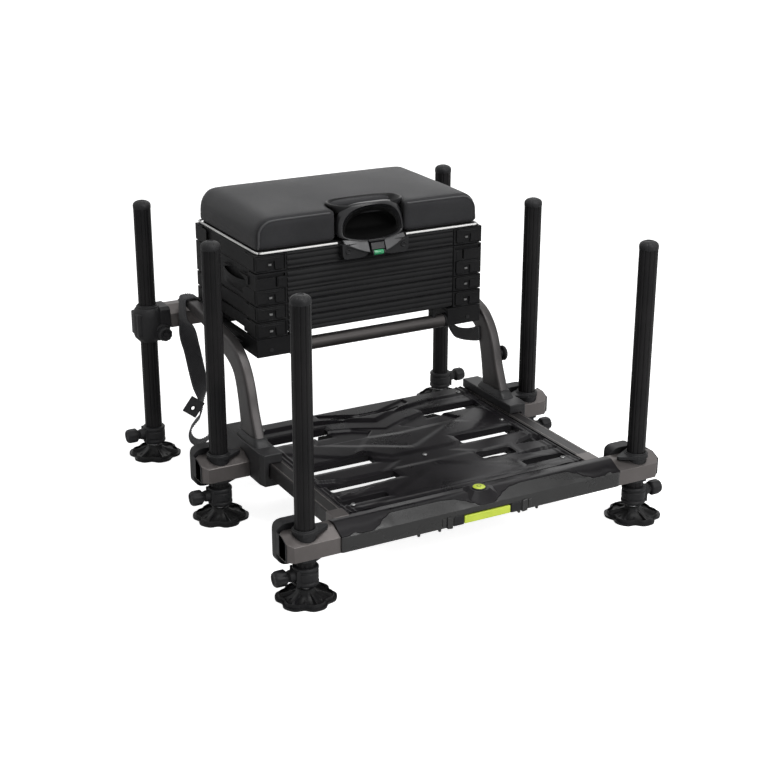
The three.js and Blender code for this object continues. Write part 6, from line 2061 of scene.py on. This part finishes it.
@dataclass
class FrontMoulding:
    """The front moulding with its wavy upper edge, its pads and pegs, the bubble and the lime handle.

    Attributes:
        half: Half the moulding's length.
        low: Its lower edge.
        face: Its front face.
        pegs: Where the pegs stand under it.
    """

    half: float = 301.6
    low: float = 86.9
    face: float = -404.3
    pegs: tuple[float, ...] = (-144.0, -100.0, 72.0, 112.0)

    def build(self) -> None:
        """Makes all of it."""
        self.panel()
        self.pads()
        self.level_bubble()
        self.handle()

    def panel(self) -> None:
        """The panel from the lower edge to the seam."""
        rings = []
        for x in (-self.half + 2 * self.half * i / 151 for i in range(152)):
            seam = Deck.seam(x)
            lift, near = seam - SEAM_FRONT, Deck.slope(seam)
            ends = max(0.0, abs(x) - self.half + 5.0) / 5.0
            out = self.face + 1.6 * ends**2
            recess = 3.2 if abs(x) < 50.6 else 0.0
            bulge = 1.1 * math.sin(math.pi * min(1.0, lift / 26.0)) if lift else 0.0
            rings.append([(x, y, z) for y, z in (
                (out + 5.4, self.low), (out + 2.4 + recess, self.low), (out + 0.8 + recess, self.low + 1.0),
                (out + recess, self.low + 3.0), (out + recess, 103.6), (out + recess * 0.5, 106.2), (out, 107.4),
                (out, 114.6), (out + 0.3, 117.4), (out + 0.4 + lift * 0.33, 118.0 + lift * 0.17 + bulge),
                (out + 0.4 + lift * 0.66, 118.0 + lift * 0.34 + bulge), (seam - 0.5 + 0.3 * ends, near - 0.3),
                (seam - 0.1, near - 1.2), (seam + 0.1, near - 3.4), (-400.2, 115.2), (-400.2, self.low + 1.0),
            )])
        Solid().loft(rings).piece("moulding_panel", "footplate", Finishes.MOULDING, ["front_moulding"], smooth=32)

    def pads(self) -> None:
        """The pads either side of the handle and the pegs under the moulding."""
        dark, grey = Solid(), Solid()
        for side in (-1, 1):
            cheek = [(51.4, 88.0), (51.4, 105.6), (60.0, 107.4), (70.0, 107.4), (73.0, 104.0), (73.0, 88.0)]
            dark.prism(on_side(side, cheek), Axis.Y, (-405.6, -401.0))
            pad = round_outline([(75.5, 84.6), (75.5, 107.6), (87.0, 109.4), (87.0, 86.0)], 2.0)
            grey.prism(on_side(side, pad), Axis.Y, (-406.6, -400.6))
            tab = round_outline([(90.0, 90.0), (90.0, 107.0), (97.0, 108.0), (97.0, 92.0)], 2.0)
            grey.prism(on_side(side, tab), Axis.Y, (-405.6, -401.0))
        for x in self.pegs:
            grey.lathe([(0, 81.4), (1.6, 81.4), (2.8, 82.4), (3.4, 87.6), (0, 87.6)], (x, -399.6), sides=16)
        dark.piece("handle_cheeks", "footplate", Finishes.CASTING, bevel=1.0, smooth=30)
        grey.piece("moulding_pads", "footplate", Finishes.MOULDING, bevel=0.8, smooth=40)

    def level_bubble(self) -> None:
        """The round lime level with its black ring and small bubble."""
        lens = [(0, 134.0), (12.0, 134.0), (12.0, 139.3), (11.2, 140.1), (8.0, 140.6), (0, 140.9)]
        bezel = [(12.1, 136.0), (14.6, 136.0), (14.4, 138.9), (13.2, 139.8), (12.1, 139.6), (12.1, 136.0)]
        eye = [(3.4, 140.75), (4.4, 140.75), (4.4, 141.0), (3.4, 141.0), (3.4, 140.75)]
        for name, profile, finish, sides, nodes in (
            ("lens", lens, Finishes.LIME, 48, ["level_bubble"]), ("bezel", bezel, Finishes.CASTING, 48, []),
            ("ring", eye, Finishes.CASTING, 32, []),
        ):
            turned = Solid().lathe(profile, (0, -372.0), sides=sides)
            turned.piece(f"bullseye_{name}", "footplate", finish, nodes, smooth=40)

    def handle(self) -> None:
        """The lime pull handle."""
        outline = round_outline([(-49.8, 88.2), (49.8, 88.2), (49.8, 103.6), (-49.8, 103.6)], 2.5)
        bar = Solid().prism(outline, Axis.Y, (-405.0, -394.2))
        bar.piece("handle_bar", "release_handle", Finishes.LIME, ["release_handle"], bevel=1.4, segments=3, smooth=30)


@dataclass
class Straps:
    """The two webbing straps.

    Attributes:
        width: The webbing's width.
        thickness: Its thickness.
        left: Stations of the left strap: X, Y, Z and the turn of its width in degrees.
        right: The outline of the right strap, as (Y, Z) points.
        right_span: The right strap's inner and outer X.
    """

    width: float = 38.0
    thickness: float = 2.6
    left: tuple[tuple[float, float, float, float], ...] = (
        (-261, 321, 316, -90), (-262.5, 323, 340, -90), (-266, 326, 354, -90), (-275, 328, 359, -90),
        (-290, 329, 359.5, -90), (-298, 329, 354, -90), (-298.3, 329, 318, -84),
        (-292, 330, 300, -62), (-287, 336, 278, -34), (-281, 343, 255, -10), (-274, 347, 230, 0),
        (-266, 350, 190, 0), (-258, 353, 150, 8), (-254, 356, 126, 36), (-254, 357, 104, 58), (-261, 352, 80, 61),
        (-273, 352, 67, 61), (-282, 357, 51, 61), (-284, 358, 35, 61), (-279, 355, 23, 61), (-268, 349, 18, 61),
        (-255, 342, 24, 61), (-244, 336, 38, 61), (-240, 334, 54, 61),
    )
    right: tuple[Pair, ...] = (
        (60, 262), (64, 252), (104, 240), (145, 232), (170, 233), (196, 252), (214, 286), (222, 330), (198, 330),
        (192, 292), (180, 264), (160, 257), (130, 261), (93, 273), (66, 284),
    )
    right_span: Pair = (268.8, 271.6)

    def build(self) -> None:
        """Makes both straps."""
        self.left_strap()
        self.right_strap()

    def left_strap(self) -> None:
        """The strap that hangs from the left arm, with stitched end and eyelet tab."""
        path = smooth_path([s[:3] for s in self.left], 6)
        twists = [math.radians(p.x) for p in smooth_path([(s[3], 0, 0) for s in self.left], 6)]
        widths = [Vector((math.cos(twist), math.sin(twist), 0)) for twist in twists]
        webbing = Solid().ribbon(path, widths, self.width, self.thickness)
        webbing.piece("webbing_left", "frame", Finishes.WEBBING, ["strap_left"], smooth=60)
        for name, edge in (("outer", -1), ("inner", 1)):
            face = []
            for i, (p, wide) in enumerate(zip(path, widths)):
                run = path[min(i + 1, len(path) - 1)] - path[max(i - 1, 0)]
                thick = run.cross(wide).normalized()
                face.append(p + wide * edge * (self.width / 2 - 2.6) + thick * (self.thickness * 0.62))
            Pattern.piece(Pattern.along(), f"strap_stitches_{name}", "frame", Finishes.EDGING, stitch(3.4, 0.5),
                          face[4:-3], joined=True, Spacing=5.0 * MM)
        self.tab()

    def tab(self) -> None:
        """The turned-up tab with its eyelet, near the loop."""
        place = Matrix.Translation(Vector((-281.0, 337.0, 108.0))) @ Matrix.Rotation(math.radians(38), 4, "Y")
        plate = Solid().prism(rectangle((-18.0, 18.0), (-19.0, 19.0), 1.5), Axis.Y, (-1.3, 1.3))
        plate = plate.carved(Solid().lathe([(4.2, -6.0), (4.2, 6.0)], (0.0, -3.0), Axis.Y, 24)).turned(place)
        plate.piece("strap_tab", "frame", Finishes.THREAD, bevel=0.5, smooth=40)
        ring = [(4.3, -1.9), (6.8, -1.9), (7.2, -1.3), (7.2, 1.3), (6.8, 1.9), (4.3, 1.9), (4.3, -1.9)]
        eyelet = Solid().lathe(ring, (0.0, -3.0), Axis.Y, 32).turned(place)
        eyelet.piece("strap_eyelet", "frame", Finishes.CASTING, smooth=40)

    def right_strap(self) -> None:
        """The strap that hangs inside the right arm."""
        outline = even_path(smooth_path([(a, b, 0) for a, b in (*self.right, self.right[0])], 5), 96)[:-1]
        solid = Solid().prism([(p.x, p.y) for p in outline], Axis.X, self.right_span)
        layer = solid.mesh.loops.layers.uv.new("webbing")
        for face in solid.mesh.faces:
            for loop in face.loops:
                loop[layer].uv = (loop.vert.co.y * MM, loop.vert.co.z * MM)
        solid.piece("webbing_right", "frame", Finishes.WEBBING, ["strap_right"], bevel=0.6, smooth=40)
        path = []
        for i, p in enumerate(outline):
            run = (outline[(i + 1) % len(outline)] - outline[i - 1]).normalized()
            path.append((self.right_span[0] - 0.3, p.x - run.y * 3.0, p.y + run.x * 3.0))
        Pattern.piece(Pattern.along(), "strap_stitches_right", "frame", Finishes.EDGING, stitch(3.4, 0.5), path,
                      joined=True, Spacing=5.0 * MM)


def main() -> None:
    """Builds every sub-assembly in order."""
    logging.basicConfig(level=logging.INFO, format="%(name)s: %(message)s")
    Studio().build()
    legs = Legs()
    parts = (legs, MudFeet(legs), Joints(legs), Carrier(), Trays(), Hood(), ReleaseButton(), Cushion(), Deck(),
             FrontMoulding(), Straps())
    for part in parts:
        part.build()
        log.info("%s is done", type(part).__name__)


if __name__ == "__main__":
    main()
